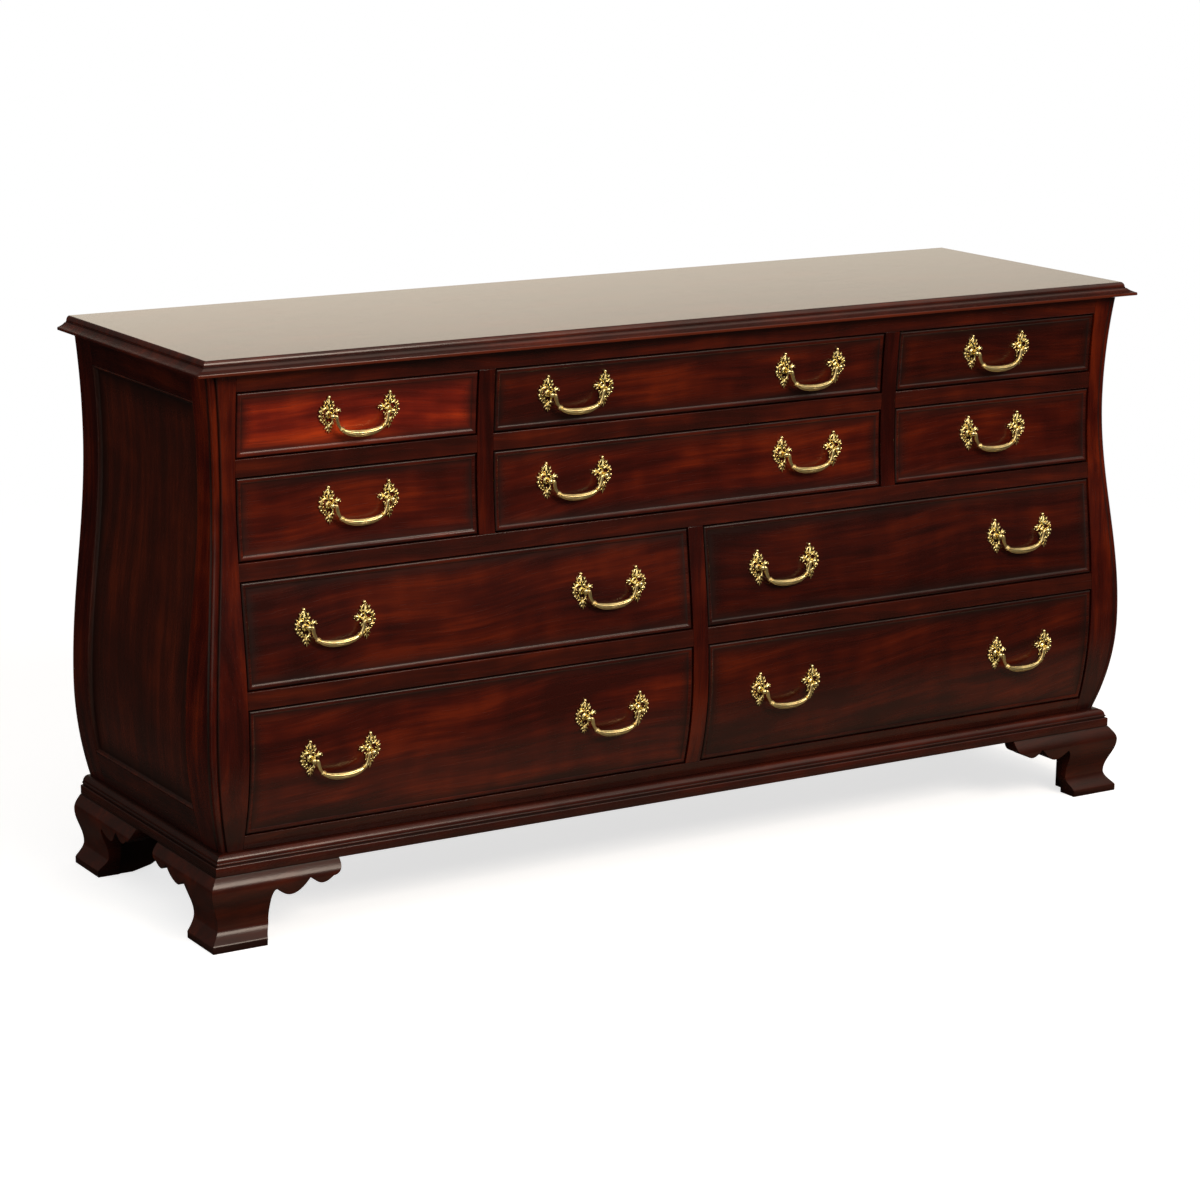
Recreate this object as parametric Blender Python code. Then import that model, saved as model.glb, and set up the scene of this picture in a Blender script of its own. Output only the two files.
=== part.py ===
"""Bombe chest of ten drawers on ogee bracket feet, with cast bail pulls.

Sizes are in metres. While it is laid out, y is measured back from the nose of the top;
each object is then placed so that the whole stands centred on the origin.
"""

import math

import bmesh
import bpy
from mathutils import Matrix, Vector

for leftover in list(bpy.data.objects):
    bpy.data.objects.remove(leftover, do_unlink=True)

# Gaps
FIT = 0.0003                # between pieces that are glued or seated
DRAWER_GAP = 0.0015         # round a drawer front in its opening
RUN_GAP = 0.0006            # under a drawer box

# Top
TOP_WIDTH = 1.760           # over the nose
TOP_DEPTH = 0.520           # nose to back edge
TOP_THICK = 0.022
TOP_NOSE = 0.0058           # height of the thin nose
COVE_REACH = 0.0120         # hollow above the nose
COVE_RISE = 0.0078
COVE_HOLLOW = 0.40          # 0 for a straight slope, 1 for a full quarter hollow
COVE_FILLET = 0.0018        # flat between hollow and round
ROUND_REACH = 0.0060        # round that meets the flat surface
BACK_OVERHANG = 0.006

# Heights, from the floor up
HEIGHT = 0.899              # floor to the top surface
FOOT_HEIGHT = 0.1160
BASE_HEIGHT = 0.0305
BOTTOM_RAIL = 0.0235
RAIL = 0.027
TOP_RAIL = 0.029
ROW_SHARES = {"row4": 201, "row3": 165, "row2": 129, "row1": 102}  # of what the rails leave

# Swell: how far the case lies inside the nose, at its base, bulge, waist and top
FRONT_SWELL = (0.0256, -0.0025, 0.0318, 0.0217)
SIDE_SWELL = (0.0329, 0.0083, 0.0358, 0.0252)
BULGE_SHARE = 0.228         # height of the bulge, as a share of the case's height
WAIST_SHARE = 0.762
LEVEL_STEP = 0.038          # height between the facets of a swelled face

# Front layout
STILE_INSET = 0.071         # nose to the outer drawer opening
DIVIDER_THICK = 0.028
SHORT_OPENING = 0.4115      # opening of a short drawer
LAP_DEPTH = 0.020           # how deep a divider laps over its rail

# Corner posts and side frames
POST_BACK = 0.0865          # nose to the rear face of the post
BEAD_RADIUS = 0.0055
BEAD_INSET = 0.0060         # bead centre inside both faces
QUIRK = 0.0130              # corner to the far lip of the quirk
REAR_STILE = 0.058
SIDE_THICK = 0.022
SIDE_TOP_RAIL = 0.048
SIDE_BOTTOM_RAIL = 0.053
PANEL_THICK = 0.014

# Inside the case
BOARD_THICK = 0.016
RAIL_DEPTH = 0.060
BACK_THICK = 0.008
GUIDE_HIGH = 0.012
GUIDE_WIDE = 0.008
GUIDE_SEAT = 0.010

# Base moulding
MOULD_FRONT = 0.0050        # fascia inside the nose line
MOULD_DEEP = 0.040
MOULD_FLAT = 0.0060         # flat on top, in front of the case
MOULD_SIDE_FLAT = 0.0024    # the same beside the case
MOULD_FASCIA = 0.0150       # height of the fascia
MOULD_STEP = 0.0040         # how far the quirk above it steps in
MOULD_QUIRK = 0.0020        # height of that quirk
MOULD_BEAD = 0.0016

# Feet
TOE_OUT = 0.0075            # toe beyond the nose line
TOE_HIGH = 0.0115
TOE_CURVE = 0.8             # below 1 the toe's rounding is shorter than the hollow above it
ANKLE_IN = 0.0080           # hollow inside the nose line
ANKLE_HIGH = 0.035
KNEE_OUT = 0.0075
KNEE_HIGH = 0.0935
FOOT_TOP_IN = 0.0045
BRACKET_BACK = 0.030        # inner face of a bracket, inside the nose line
FOOT_WIDE = 0.0915          # toe corner to the inner edge at the floor
WING_LONG = 0.221           # toe corner to the tip of the wing
WING_CUSPS = ((0.0172, 0.0866), (0.0745, 0.0972), (0.1139, 0.0932))  # beyond FOOT_WIDE, height
WING_LOBES = (0.018, 0.0105)
WING_SPRING = 0.068         # height at which the first hollow starts
WING_TIP_RISE = 0.017
ANKLE_STEP = (0.008, 0.034, 0.0090)  # from, up to, and how far the inner edge steps out
CUT_OVER = 0.010            # how far a cutter reaches beyond the wood
BLOCK_SIZE = 0.036
REAR_BRACKET_THICK = 0.020
REAR_BRACKET_LONG = 0.190
REAR_BRACKET_TOE = 0.062

# Drawers
FRONT_THICK = 0.020         # at the thinnest place
FRONT_RECESS = 0.0005
FRONT_EDGE = ((0.0, 0.0016), (0.0012, 0.0002), (0.0034, 0.0002), (0.0052, 0.0022))
SIDE_BOARD = 0.012
BOTTOM_BOARD = 0.006
BOX_DROP = 0.016            # box side below the top of its front
DRAWER_CLEAR = 0.034        # back of a box to the back of the case
DRAWER_TRAVEL = 0.320

# Pulls
PULL_BORE = 0.102           # between the two posts
PULL_LIFT = {"row4": 0.0115, "row3": 0.0035, "row2": 0.0085, "row1": 0.0040}
PULL_FROM_EDGE = {"centre": 0.147, "half": 0.154}
PLATE_HIGH = 0.060
PLATE_WIDE = 0.031
PLATE_PROUD = 0.0028
PLATE_EMBED = 0.0016
POST_RADIUS = 0.0042
POST_PROUD = 0.0185
PIVOT_PROUD = 0.0135
PIN_RADIUS = 0.0015
PIN_GAP = 0.0004
ARM_RADIUS = 0.0025
GRIP_RADIUS = 0.0053
COLLAR_RADIUS = 0.0043
BAIL_DROP = 0.0303
BAIL_BEND = 0.0055          # how far an arm has turned in where it bends
BAIL_COLLAR = (0.0085, 0.0110)  # start and end of a collar, in from the arm
BAIL_RANGE = 90.0

# Worked out from the sizes above
BASE_TOP = FOOT_HEIGHT + BASE_HEIGHT
CASE_TOP = HEIGHT - TOP_THICK
BULGE_RISE = BULGE_SHARE * (CASE_TOP - BASE_TOP)
WAIST_RISE = WAIST_SHARE * (CASE_TOP - BASE_TOP)
HALF_TOP = TOP_WIDTH / 2
OPEN_HALF = HALF_TOP - STILE_INSET
CASE_BACK = TOP_DEPTH - BACK_OVERHANG
BOARD_BACK = CASE_BACK - BACK_THICK - FIT
DRAWER_BACK = CASE_BACK - DRAWER_CLEAR
SIDE_OFFSET = SIDE_SWELL[0] - MOULD_SIDE_FLAT - FRONT_SWELL[0] + MOULD_FLAT
DIVIDER_X = OPEN_HALF - SHORT_OPENING - DIVIDER_THICK / 2
ARM_X = PULL_BORE / 2 - POST_RADIUS - ARM_RADIUS - FIT


def row_heights():
    """Low and high edge of each row's opening."""
    rails = BOTTOM_RAIL + RAIL * (len(ROW_SHARES) - 1) + TOP_RAIL
    unit = (CASE_TOP - BASE_TOP - rails) / sum(ROW_SHARES.values())
    rows = {}
    low = BASE_TOP + BOTTOM_RAIL
    for row, share in ROW_SHARES.items():
        rows[row] = (low, low + share * unit)
        low += share * unit + RAIL
    return rows


ROWS = row_heights()


def swell(z, insets):
    """Inset of a swelled face at a height: hollow, then round, then drawn in at the base."""
    base, bulge, waist, top = insets
    rise = z - BASE_TOP
    if rise < BULGE_RISE:
        return bulge + (base - bulge) * (1 - rise / BULGE_RISE) ** 2
    if rise < WAIST_RISE:
        part = (rise - BULGE_RISE) / (WAIST_RISE - BULGE_RISE)
        return bulge + (waist - bulge) * (1 - math.cos(math.pi * part)) / 2
    part = (rise - WAIST_RISE) / (CASE_TOP - BASE_TOP - WAIST_RISE)
    return waist + (top - waist) * part ** 2


def front_y(z):
    return swell(z, FRONT_SWELL)


def field_y(z):
    """Depth of a drawer front's field, inside the bead round its edge."""
    return front_y(z) + FRONT_RECESS + FRONT_EDGE[-1][1]


def side_x(z):
    return HALF_TOP - swell(z, SIDE_SWELL)


def front_tilt(z):
    """Angle of the front face from upright, for what is screwed square on to it."""
    span = 0.010
    return math.atan2(front_y(z + span) - front_y(z - span), 2 * span)


def pull_height(row):
    low, high = ROWS[row]
    return (low + high) / 2 + PULL_LIFT[row]


def pull_point(row, proud):
    """Depth and height of a point that stands proud of the field at a row's posts."""
    z = pull_height(row)
    tilt = front_tilt(z)
    return (field_y(z) - proud * math.cos(tilt), z + proud * math.sin(tilt))


FRONTMOST = min(pull_point(row, POST_PROUD)[0] for row in ROWS)
MIDDLE_Y = (min(FRONTMOST, -TOE_OUT) + TOP_DEPTH) / 2


def material(name, colour, roughness, metallic=0.0):
    made = bpy.data.materials.new(name)
    made.use_nodes = True
    shader = made.node_tree.nodes["Principled BSDF"]
    shader.inputs["Base Color"].default_value = (*colour, 1.0)
    shader.inputs["Roughness"].default_value = roughness
    shader.inputs["Metallic"].default_value = metallic
    return made


MAHOGANY = material("mahogany", (0.125, 0.020, 0.008), 0.28)
PANEL_WOOD = material("panel_mahogany", (0.100, 0.016, 0.007), 0.30)
DRAWER_WOOD = material("drawer_mahogany", (0.150, 0.024, 0.009), 0.26)
INNER_WOOD = material("drawer_lining", (0.420, 0.270, 0.140), 0.55)
BRASS = material("brass", (0.640, 0.470, 0.200), 0.30, 1.0)


def finish_mesh(bm):
    bmesh.ops.remove_doubles(bm, verts=bm.verts, dist=0.000001)
    bmesh.ops.recalc_face_normals(bm, faces=bm.faces)


def place(name, bm, wood, pivot=(0.0, 0.0, 0.0), parent=None):
    """Make the object, with its origin at the pivot, and stand it where it belongs."""
    bmesh.ops.translate(bm, verts=bm.verts, vec=-Vector(pivot))
    finish_mesh(bm)
    mesh = bpy.data.meshes.new(name)
    bm.to_mesh(mesh)
    bm.free()
    mesh.materials.append(wood)
    mesh.shade_smooth()
    mesh.set_sharp_from_angle(angle=math.radians(30))
    made = bpy.data.objects.new(name, mesh)
    bpy.context.scene.collection.objects.link(made)
    made.location = Vector(pivot) - Vector((0.0, MIDDLE_Y, 0.0))
    if parent:
        made.parent = parent
        made.location -= parent.location
    return made


def sweep(sections):
    """Grow a closed body from one section to the next, point to point."""
    bm = bmesh.new()
    ring = [bm.verts.new(point) for point in sections[0]]
    face = bm.faces.new(ring)
    for section in sections[1:]:
        order = {tuple(vert.co): spot for spot, vert in enumerate(ring)}
        grown = bmesh.ops.extrude_face_region(bm, geom=[face, *face.edges])
        face = next(item for item in grown["geom"] if isinstance(item, bmesh.types.BMFace))
        ring = [None] * len(section)
        for vert in face.verts:
            ring[order[tuple(vert.co)]] = vert
        for vert, point in zip(ring, section):
            vert.co = point
    return bm


def prism(outline, axis, low, high):
    """Extrude a flat outline along x, y or z."""
    def at(level):
        points = []
        for first, second in outline:
            point = [first, second]
            point.insert("xyz".index(axis), level)
            points.append(tuple(point))
        return points
    return sweep([at(low), at(high)])


def block(x, y, z):
    """A plain rectangular piece from pairs of limits."""
    bm = bmesh.new()
    bmesh.ops.create_cube(bm, size=1.0)
    size = (x[1] - x[0], y[1] - y[0], z[1] - z[0])
    middle = ((x[0] + x[1]) / 2, (y[0] + y[1]) / 2, (z[0] + z[1]) / 2)
    bmesh.ops.scale(bm, verts=bm.verts, vec=size)
    bmesh.ops.translate(bm, verts=bm.verts, vec=middle)
    return bm


def loose_object(bm, name):
    finish_mesh(bm)
    mesh = bpy.data.meshes.new(name)
    bm.to_mesh(mesh)
    bm.free()
    made = bpy.data.objects.new(name, mesh)
    made.hide_render = True
    made.display_type = "WIRE"
    bpy.context.scene.collection.objects.link(made)
    return made


def combine(body, steps):
    """Join pieces to a body or cut them from it, in turn."""
    base = loose_object(body, "work_piece")
    tools = []
    for operation, tool in steps:
        tools.append(loose_object(tool, "tool"))
        change = base.modifiers.new(operation.lower(), "BOOLEAN")
        change.operation = operation
        change.solver = "EXACT"
        change.object = tools[-1]
    bpy.context.view_layer.update()
    result = bmesh.new()
    result.from_object(base, bpy.context.evaluated_depsgraph_get())
    for item in [base, *tools]:
        bpy.data.meshes.remove(item.data, do_unlink=True)
    return result


def mirrored(bm):
    """The same piece for the other side of the case."""
    bmesh.ops.scale(bm, verts=bm.verts, vec=(-1.0, 1.0, 1.0))
    bmesh.ops.reverse_faces(bm, faces=bm.faces)
    return bm


def sided(make, name, wood):
    """A left piece and its mirrored partner on the right."""
    place(f"{name}_left", make(), wood)
    place(f"{name}_right", mirrored(make()), wood)


def levels(low, high, edges=(0.0,)):
    """Heights for a swelled face: its edge steps, and the facet lines between them."""
    inner = []
    step = BASE_TOP
    while step < CASE_TOP:
        if low + edges[-1] + LEVEL_STEP / 4 < step < high - edges[-1] - LEVEL_STEP / 4:
            inner.append(step)
        step += LEVEL_STEP
    return [low + edge for edge in edges] + inner + [high - edge for edge in reversed(edges)]


def relief(profile, distance):
    """Depth of an edge profile at a distance from the edge."""
    for (near, shallow), (far, deep) in zip(profile, profile[1:]):
        if distance <= far:
            part = (distance - near) / (far - near)
            return shallow + (deep - shallow) * part
    return profile[-1][1]


# The top: a board with a thin nose, a hollow, a fillet and a round on three sides
def top_board():
    profile = [(0.0012, 0.0), (0.0, 0.0012), (0.0, TOP_NOSE - 0.0010), (0.0010, TOP_NOSE)]
    for step in range(1, 6):
        part = step / 5
        turn = math.pi / 2 * part
        reach = part + COVE_HOLLOW * (math.sin(turn) - part)
        rise = part + COVE_HOLLOW * (1 - math.cos(turn) - part)
        profile.append((0.0010 + COVE_REACH * reach, TOP_NOSE + COVE_RISE * rise))
    cove_in, cove_high = profile[-1]
    shelf_in = cove_in + COVE_FILLET
    round_low = cove_high + COVE_FILLET
    profile += [(shelf_in, cove_high), (shelf_in, round_low)]
    for step in range(6):
        turn = math.pi / 2 * step / 5
        reach = shelf_in + 0.0008 + ROUND_REACH * (1 - math.cos(turn))
        rise = (TOP_THICK - round_low - 0.0003) * math.sin(turn)
        profile.append((reach, round_low + 0.0003 + rise))
    sections = []
    for inset, rise in profile:
        half = HALF_TOP - inset
        z = CASE_TOP + rise
        sections.append([(-half, inset, z), (half, inset, z), (half, TOP_DEPTH, z),
                         (-half, TOP_DEPTH, z)])
    place("top_board", sweep(sections), MAHOGANY)


# Corner posts: swelled on both faces, with a bead between two quirks at the corner
def corner_post():
    sections = []
    for z in levels(BASE_TOP + FIT, CASE_TOP - FIT):
        x = -side_x(z)
        y = front_y(z)
        centre = (x + BEAD_INSET, y + BEAD_INSET)
        ring = [(-OPEN_HALF, y), (-OPEN_HALF, POST_BACK), (x, POST_BACK), (x, y + QUIRK)]
        ring.append((x + BEAD_RADIUS / 2, y + QUIRK - 0.0018))
        for turn in (145, 185, 225, 265, 305):
            angle = math.radians(turn)
            ring.append((centre[0] + BEAD_RADIUS * math.cos(angle),
                         centre[1] + BEAD_RADIUS * math.sin(angle)))
        ring += [(x + QUIRK - 0.0018, y + BEAD_RADIUS / 2), (x + QUIRK, y)]
        sections.append([(px, py, z) for px, py in ring])
    return sweep(sections)


# Side frames: a thick rear stile with a rail at the top and one at the bottom
def side_frame():
    rails = (BASE_TOP + SIDE_BOTTOM_RAIL, CASE_TOP - SIDE_TOP_RAIL)
    stile_front = CASE_BACK - REAR_STILE
    heights = sorted(levels(BASE_TOP + FIT, CASE_TOP - FIT) + list(rails))
    sections = []
    for z in heights:
        x = -side_x(z)
        ring = [(x, stile_front), (x + SIDE_THICK, stile_front), (-OPEN_HALF, stile_front),
                (-OPEN_HALF, CASE_BACK), (x, CASE_BACK)]
        sections.append([(px, py, z) for px, py in ring])
    bm = sweep(sections)
    bmesh.ops.recalc_face_normals(bm, faces=bm.faces)
    for low, high in ((BASE_TOP, rails[0]), (rails[1], CASE_TOP)):
        ends = []
        for face in bm.faces:
            middle = face.calc_center_median()
            reach = side_x(middle.z) + middle.x
            if face.normal.y < -0.9 and low < middle.z < high and reach < SIDE_THICK:
                ends.append(face)
        borders = {edge for face in ends for edge in face.edges}
        grown = bmesh.ops.extrude_face_region(bm, geom=[*ends, *borders])
        moved = [item for item in grown["geom"] if isinstance(item, bmesh.types.BMVert)]
        for vert in moved:
            vert.co.y = POST_BACK + FIT
    return bm


# Side panels: a bead at the edge, then a field set back from the frame
PANEL_EDGE = ((0.0, 0.0012), (0.0030, 0.0002), (0.0060, 0.0058), (0.0100, 0.0066))


def side_panel():
    low = BASE_TOP + SIDE_BOTTOM_RAIL + FIT
    high = CASE_TOP - SIDE_TOP_RAIL - FIT
    front = POST_BACK + FIT
    rear = CASE_BACK - REAR_STILE - FIT
    edges = [distance for distance, _ in PANEL_EDGE]
    sections = []
    for z in levels(low, high, edges):
        x = -side_x(z)
        rise = min(z - low, high - z)
        inner = x + PANEL_EDGE[-1][1] + PANEL_THICK
        ring = [(inner, front), (inner, rear)]
        for edge in edges:
            ring.append((x + relief(PANEL_EDGE, min(edge, rise)), rear - edge))
        for edge in reversed(edges):
            ring.append((x + relief(PANEL_EDGE, min(edge, rise)), front + edge))
        sections.append([(px, py, z) for px, py in ring])
    return sweep(sections)


def board_outline(low, high, board_low, board_high):
    """Side view of a swelled rail with its board behind it."""
    rail_back = front_y((low + high) / 2) + RAIL_DEPTH
    outline = [(front_y(z), z) for z in levels(low, high)]
    outline.append((rail_back, high))
    if board_high < high:
        outline.append((rail_back, board_high))
    outline += [(BOARD_BACK, board_high), (BOARD_BACK, board_low), (rail_back, board_low)]
    if board_low > low:
        outline.append((rail_back, low))
    return [(y, z) for y, z in dict.fromkeys(outline)]


def guide(top):
    """Strip beside the drawers at each end of a board, on a seat let into the board."""
    inner = OPEN_HALF - GUIDE_SEAT
    outer = OPEN_HALF + FIT + GUIDE_WIDE
    outline = [(inner, top - GUIDE_SEAT), (outer, top - GUIDE_SEAT), (outer, top + GUIDE_HIGH),
               (outer - GUIDE_WIDE, top + GUIDE_HIGH), (outer - GUIDE_WIDE, top), (inner, top)]
    return prism(outline, "y", POST_BACK + FIT, CASE_BACK - REAR_STILE - FIT)


def drawer_board(name, low, high, laps=()):
    """A rail and dust board with its guides, notched where dividers lap over it."""
    outline = board_outline(low, high, high - BOARD_THICK, high)
    body = prism(outline, "x", -OPEN_HALF + FIT, OPEN_HALF - FIT)
    steps = [("UNION", guide(high)), ("UNION", mirrored(guide(high)))]
    for x in laps:
        half = DIVIDER_THICK / 2 + FIT
        lap_back = front_y((low + high) / 2) + LAP_DEPTH + FIT
        notch = block((x - half, x + half), (-RAIL_DEPTH, lap_back), (low - RAIL, high + RAIL))
        steps.append(("DIFFERENCE", notch))
    place(name, combine(body, steps), MAHOGANY)


def case_boards():
    sub_top = board_outline(ROWS["row1"][1], CASE_TOP - FIT, CASE_TOP - FIT - BOARD_THICK,
                            CASE_TOP - FIT)
    place("sub_top", prism(sub_top, "x", -OPEN_HALF + FIT, OPEN_HALF - FIT), MAHOGANY)
    drawer_board("drawer_rail_upper", ROWS["row2"][1], ROWS["row1"][0], (-DIVIDER_X, DIVIDER_X))
    drawer_board("drawer_rail_middle", ROWS["row3"][1], ROWS["row2"][0])
    drawer_board("drawer_rail_lower", ROWS["row4"][1], ROWS["row3"][0], (0.0,))
    drawer_board("bottom_board", BASE_TOP + FIT, ROWS["row4"][0])


# Dividers: partitions the full depth of the case, slotted from behind over their rail
def divider(x, lower, upper):
    low = ROWS[lower][0] + FIT
    high = ROWS[upper][1] - FIT
    lap = (ROWS[lower][1] - FIT, ROWS[upper][0] + FIT)
    lap_y = front_y((lap[0] + lap[1]) / 2) + LAP_DEPTH
    outline = [(front_y(z), z) for z in levels(low, high)]
    outline += [(BOARD_BACK, high), (BOARD_BACK, lap[1]), (lap_y, lap[1]), (lap_y, lap[0]),
                (BOARD_BACK, lap[0]), (BOARD_BACK, low)]
    return prism(outline, "x", x - DIVIDER_THICK / 2, x + DIVIDER_THICK / 2)


def back_panel():
    body = block((-OPEN_HALF + FIT, OPEN_HALF - FIT), (CASE_BACK - BACK_THICK, CASE_BACK),
                 (BASE_TOP + FIT, CASE_TOP - FIT))
    place("back_panel", body, INNER_WOOD)


# Base: mouldings mitred at the front corners, and a plain rail across the back
def base_profile():
    """Inset from the nose line and height, from the fascia's foot round to the inside."""
    low = FOOT_HEIGHT + FIT
    step_in = MOULD_FRONT + MOULD_STEP
    fascia_top = FOOT_HEIGHT + MOULD_FASCIA
    points = [(MOULD_FRONT, low), (MOULD_FRONT, fascia_top), (step_in, fascia_top)]
    bead_z = fascia_top + MOULD_QUIRK + MOULD_BEAD
    for turn in (-60, 0, 60):
        angle = math.radians(turn)
        points.append((step_in - MOULD_BEAD * math.cos(angle), bead_z + MOULD_BEAD * math.sin(angle)))
    flat_front = FRONT_SWELL[0] - MOULD_FLAT
    round_low = bead_z + MOULD_BEAD
    for step in range(5):
        turn = math.pi / 2 * step / 4
        points.append((flat_front - (flat_front - step_in) * math.cos(turn),
                       round_low + (BASE_TOP - round_low) * math.sin(turn)))
    points += [(MOULD_FRONT + MOULD_DEEP, BASE_TOP), (MOULD_FRONT + MOULD_DEEP, low)]
    return points


def mitre_x(inset):
    """Distance of a mitred corner from the middle, for an inset from the nose line."""
    return HALF_TOP - SIDE_OFFSET - inset


def base_side():
    shift = FIT / math.sqrt(2)
    profile = base_profile()
    front = [(-mitre_x(inset), inset + shift, z) for inset, z in profile]
    rear = [(-mitre_x(inset), CASE_BACK, z) for inset, z in profile]
    return sweep([front, rear])


def base_frame():
    shift = FIT / math.sqrt(2)
    profile = base_profile()
    left = [(-mitre_x(inset) + shift, inset, z) for inset, z in profile]
    right = [(mitre_x(inset) - shift, inset, z) for inset, z in profile]
    place("base_moulding_front", sweep([left, right]), MAHOGANY)
    sided(base_side, "base_moulding", MAHOGANY)
    half = mitre_x(MOULD_FRONT + MOULD_DEEP) - FIT
    rear = block((-half, half), (CASE_BACK - MOULD_DEEP, CASE_BACK),
                 (FOOT_HEIGHT + FIT, BASE_TOP))
    place("base_rear_rail", rear, INNER_WOOD)


# Feet: ogee brackets with scalloped wings
def ogee_profile():
    """Inset from the nose line and height: toe, ankle, knee and the flat inner face."""
    points = [(-TOE_OUT, 0.0), (-TOE_OUT, TOE_HIGH)]
    for step in range(1, 5):
        part = step / 4
        points.append((-TOE_OUT + (ANKLE_IN + TOE_OUT) * math.sin(math.pi / 2 * part ** TOE_CURVE) ** 2,
                       TOE_HIGH + (ANKLE_HIGH - TOE_HIGH) * part))
    for step in range(1, 6):
        part = step / 5
        points.append((ANKLE_IN - (ANKLE_IN + KNEE_OUT) * (1 - math.cos(math.pi * part)) / 2,
                       ANKLE_HIGH + (KNEE_HIGH - ANKLE_HIGH) * part))
    for step in range(1, 4):
        part = step / 3
        points.append((-KNEE_OUT + (FOOT_TOP_IN + KNEE_OUT) * part ** 2,
                       KNEE_HIGH + (FOOT_HEIGHT - KNEE_HIGH) * part))
    return points + [(BRACKET_BACK, FOOT_HEIGHT), (BRACKET_BACK, 0.0)]


def scallop(start, end, depth, steps):
    """A hanging lobe between two cusps, each given as distance and height."""
    points = []
    for step in range(1, steps):
        part = step / steps
        points.append((start[0] + (end[0] - start[0]) * part,
                       start[1] + (end[1] - start[1]) * part - depth * math.sin(math.pi * part)))
    return points


def wing_cut():
    """What is sawn away under a wing: distance from the toe corner, and height."""
    first, second, tail = [(FOOT_WIDE + reach, height) for reach, height in WING_CUSPS]
    step_from, step_to, step_out = ANKLE_STEP
    inner = FOOT_WIDE + step_out
    outline = [(FOOT_WIDE, -CUT_OVER), (FOOT_WIDE, step_from), (inner, step_to), (inner, WING_SPRING)]
    for step in (1, 2):
        turn = math.pi / 2 * step / 3
        outline.append((first[0] - (first[0] - inner) * math.cos(turn),
                        WING_SPRING + (first[1] - WING_SPRING) * math.sin(turn)))
    outline.append(first)
    outline += scallop(first, second, WING_LOBES[0], 6)
    outline.append(second)
    outline += scallop(second, tail, WING_LOBES[1], 5)
    outline.append(tail)
    for step in range(1, 4):
        turn = math.pi / 2 * step / 3
        outline.append((tail[0] + (WING_LONG - tail[0]) * math.sin(turn),
                        tail[1] + WING_TIP_RISE * (1 - math.cos(turn))))
    beyond = WING_LONG + 2 * CUT_OVER
    outline += [(WING_LONG, FOOT_HEIGHT + CUT_OVER), (beyond, FOOT_HEIGHT + CUT_OVER),
                (beyond, -CUT_OVER)]
    return outline


def front_foot():
    profile = ogee_profile()
    corner = -mitre_x(-TOE_OUT)
    inner = [(corner + WING_LONG + CUT_OVER, inset, z) for inset, z in profile]
    middle = [(-mitre_x(inset), inset, z) for inset, z in profile]
    rear = [(-mitre_x(inset), -TOE_OUT + WING_LONG + CUT_OVER, z) for inset, z in profile]
    body = sweep([inner, middle, rear])
    front_cut = [(corner + along, z) for along, z in wing_cut()]
    side_cut = [(-TOE_OUT + along, z) for along, z in wing_cut()]
    reach = (BRACKET_BACK + TOE_OUT) * 1.5
    inner_x = -mitre_x(BRACKET_BACK)
    lap = 0.002
    glue_block = block((inner_x - lap, inner_x + BLOCK_SIZE),
                       (BRACKET_BACK - lap, BRACKET_BACK + BLOCK_SIZE), (0.0, FOOT_HEIGHT))
    steps = [
        ("DIFFERENCE", prism(front_cut, "y", -reach, BRACKET_BACK + CUT_OVER)),
        ("DIFFERENCE", prism(side_cut, "x", corner - reach, inner_x + CUT_OVER)),
        ("UNION", glue_block),
    ]
    return combine(body, steps)


def rear_foot():
    profile = ogee_profile()
    corner = -mitre_x(-TOE_OUT)
    inner_x = -mitre_x(BRACKET_BACK)
    front = [(-mitre_x(inset), CASE_BACK - WING_LONG - CUT_OVER, z) for inset, z in profile]
    rear = [(-mitre_x(inset), CASE_BACK, z) for inset, z in profile]
    body = sweep([front, rear])
    side_cut = [(CASE_BACK - along, z) for along, z in wing_cut()]
    lap = 0.002
    toe_x = corner + REAR_BRACKET_TOE
    tip_x = corner + REAR_BRACKET_LONG
    curve = [(toe_x + (tip_x - toe_x) * math.sqrt(part / 6), FOOT_HEIGHT * part / 6)
             for part in range(7)]
    outline = [(inner_x - lap, 0.0), *curve, (inner_x - lap, FOOT_HEIGHT)]
    front_face = CASE_BACK - FOOT_WIDE + lap
    bracket = prism(outline, "y", front_face, front_face + REAR_BRACKET_THICK)
    steps = [
        ("DIFFERENCE", prism(side_cut, "x", corner - BRACKET_BACK, inner_x + CUT_OVER)),
        ("UNION", bracket),
    ]
    return combine(body, steps)


# Pulls: a cast rosette with its post, and a bail hung between two posts
def circle(centre, radius, sides, axis):
    """Points round an axis, as the section of a turned piece."""
    points = []
    for step in range(sides):
        turn = 2 * math.pi * (step + 0.5) / sides
        spot = [centre[0], centre[1], centre[2]]
        first, second = [place_ for place_ in range(3) if place_ != axis]
        spot[first] += radius * math.cos(turn)
        spot[second] += radius * math.sin(turn)
        points.append(tuple(spot))
    return points


PLATE_LOBES = ((0.00, 1.00), (0.26, 0.80), (0.56, 0.58), (0.54, 0.34), (1.00, 0.10), (0.92, -0.16),
               (0.58, -0.38), (0.34, -0.68), (0.00, -1.00))


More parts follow.
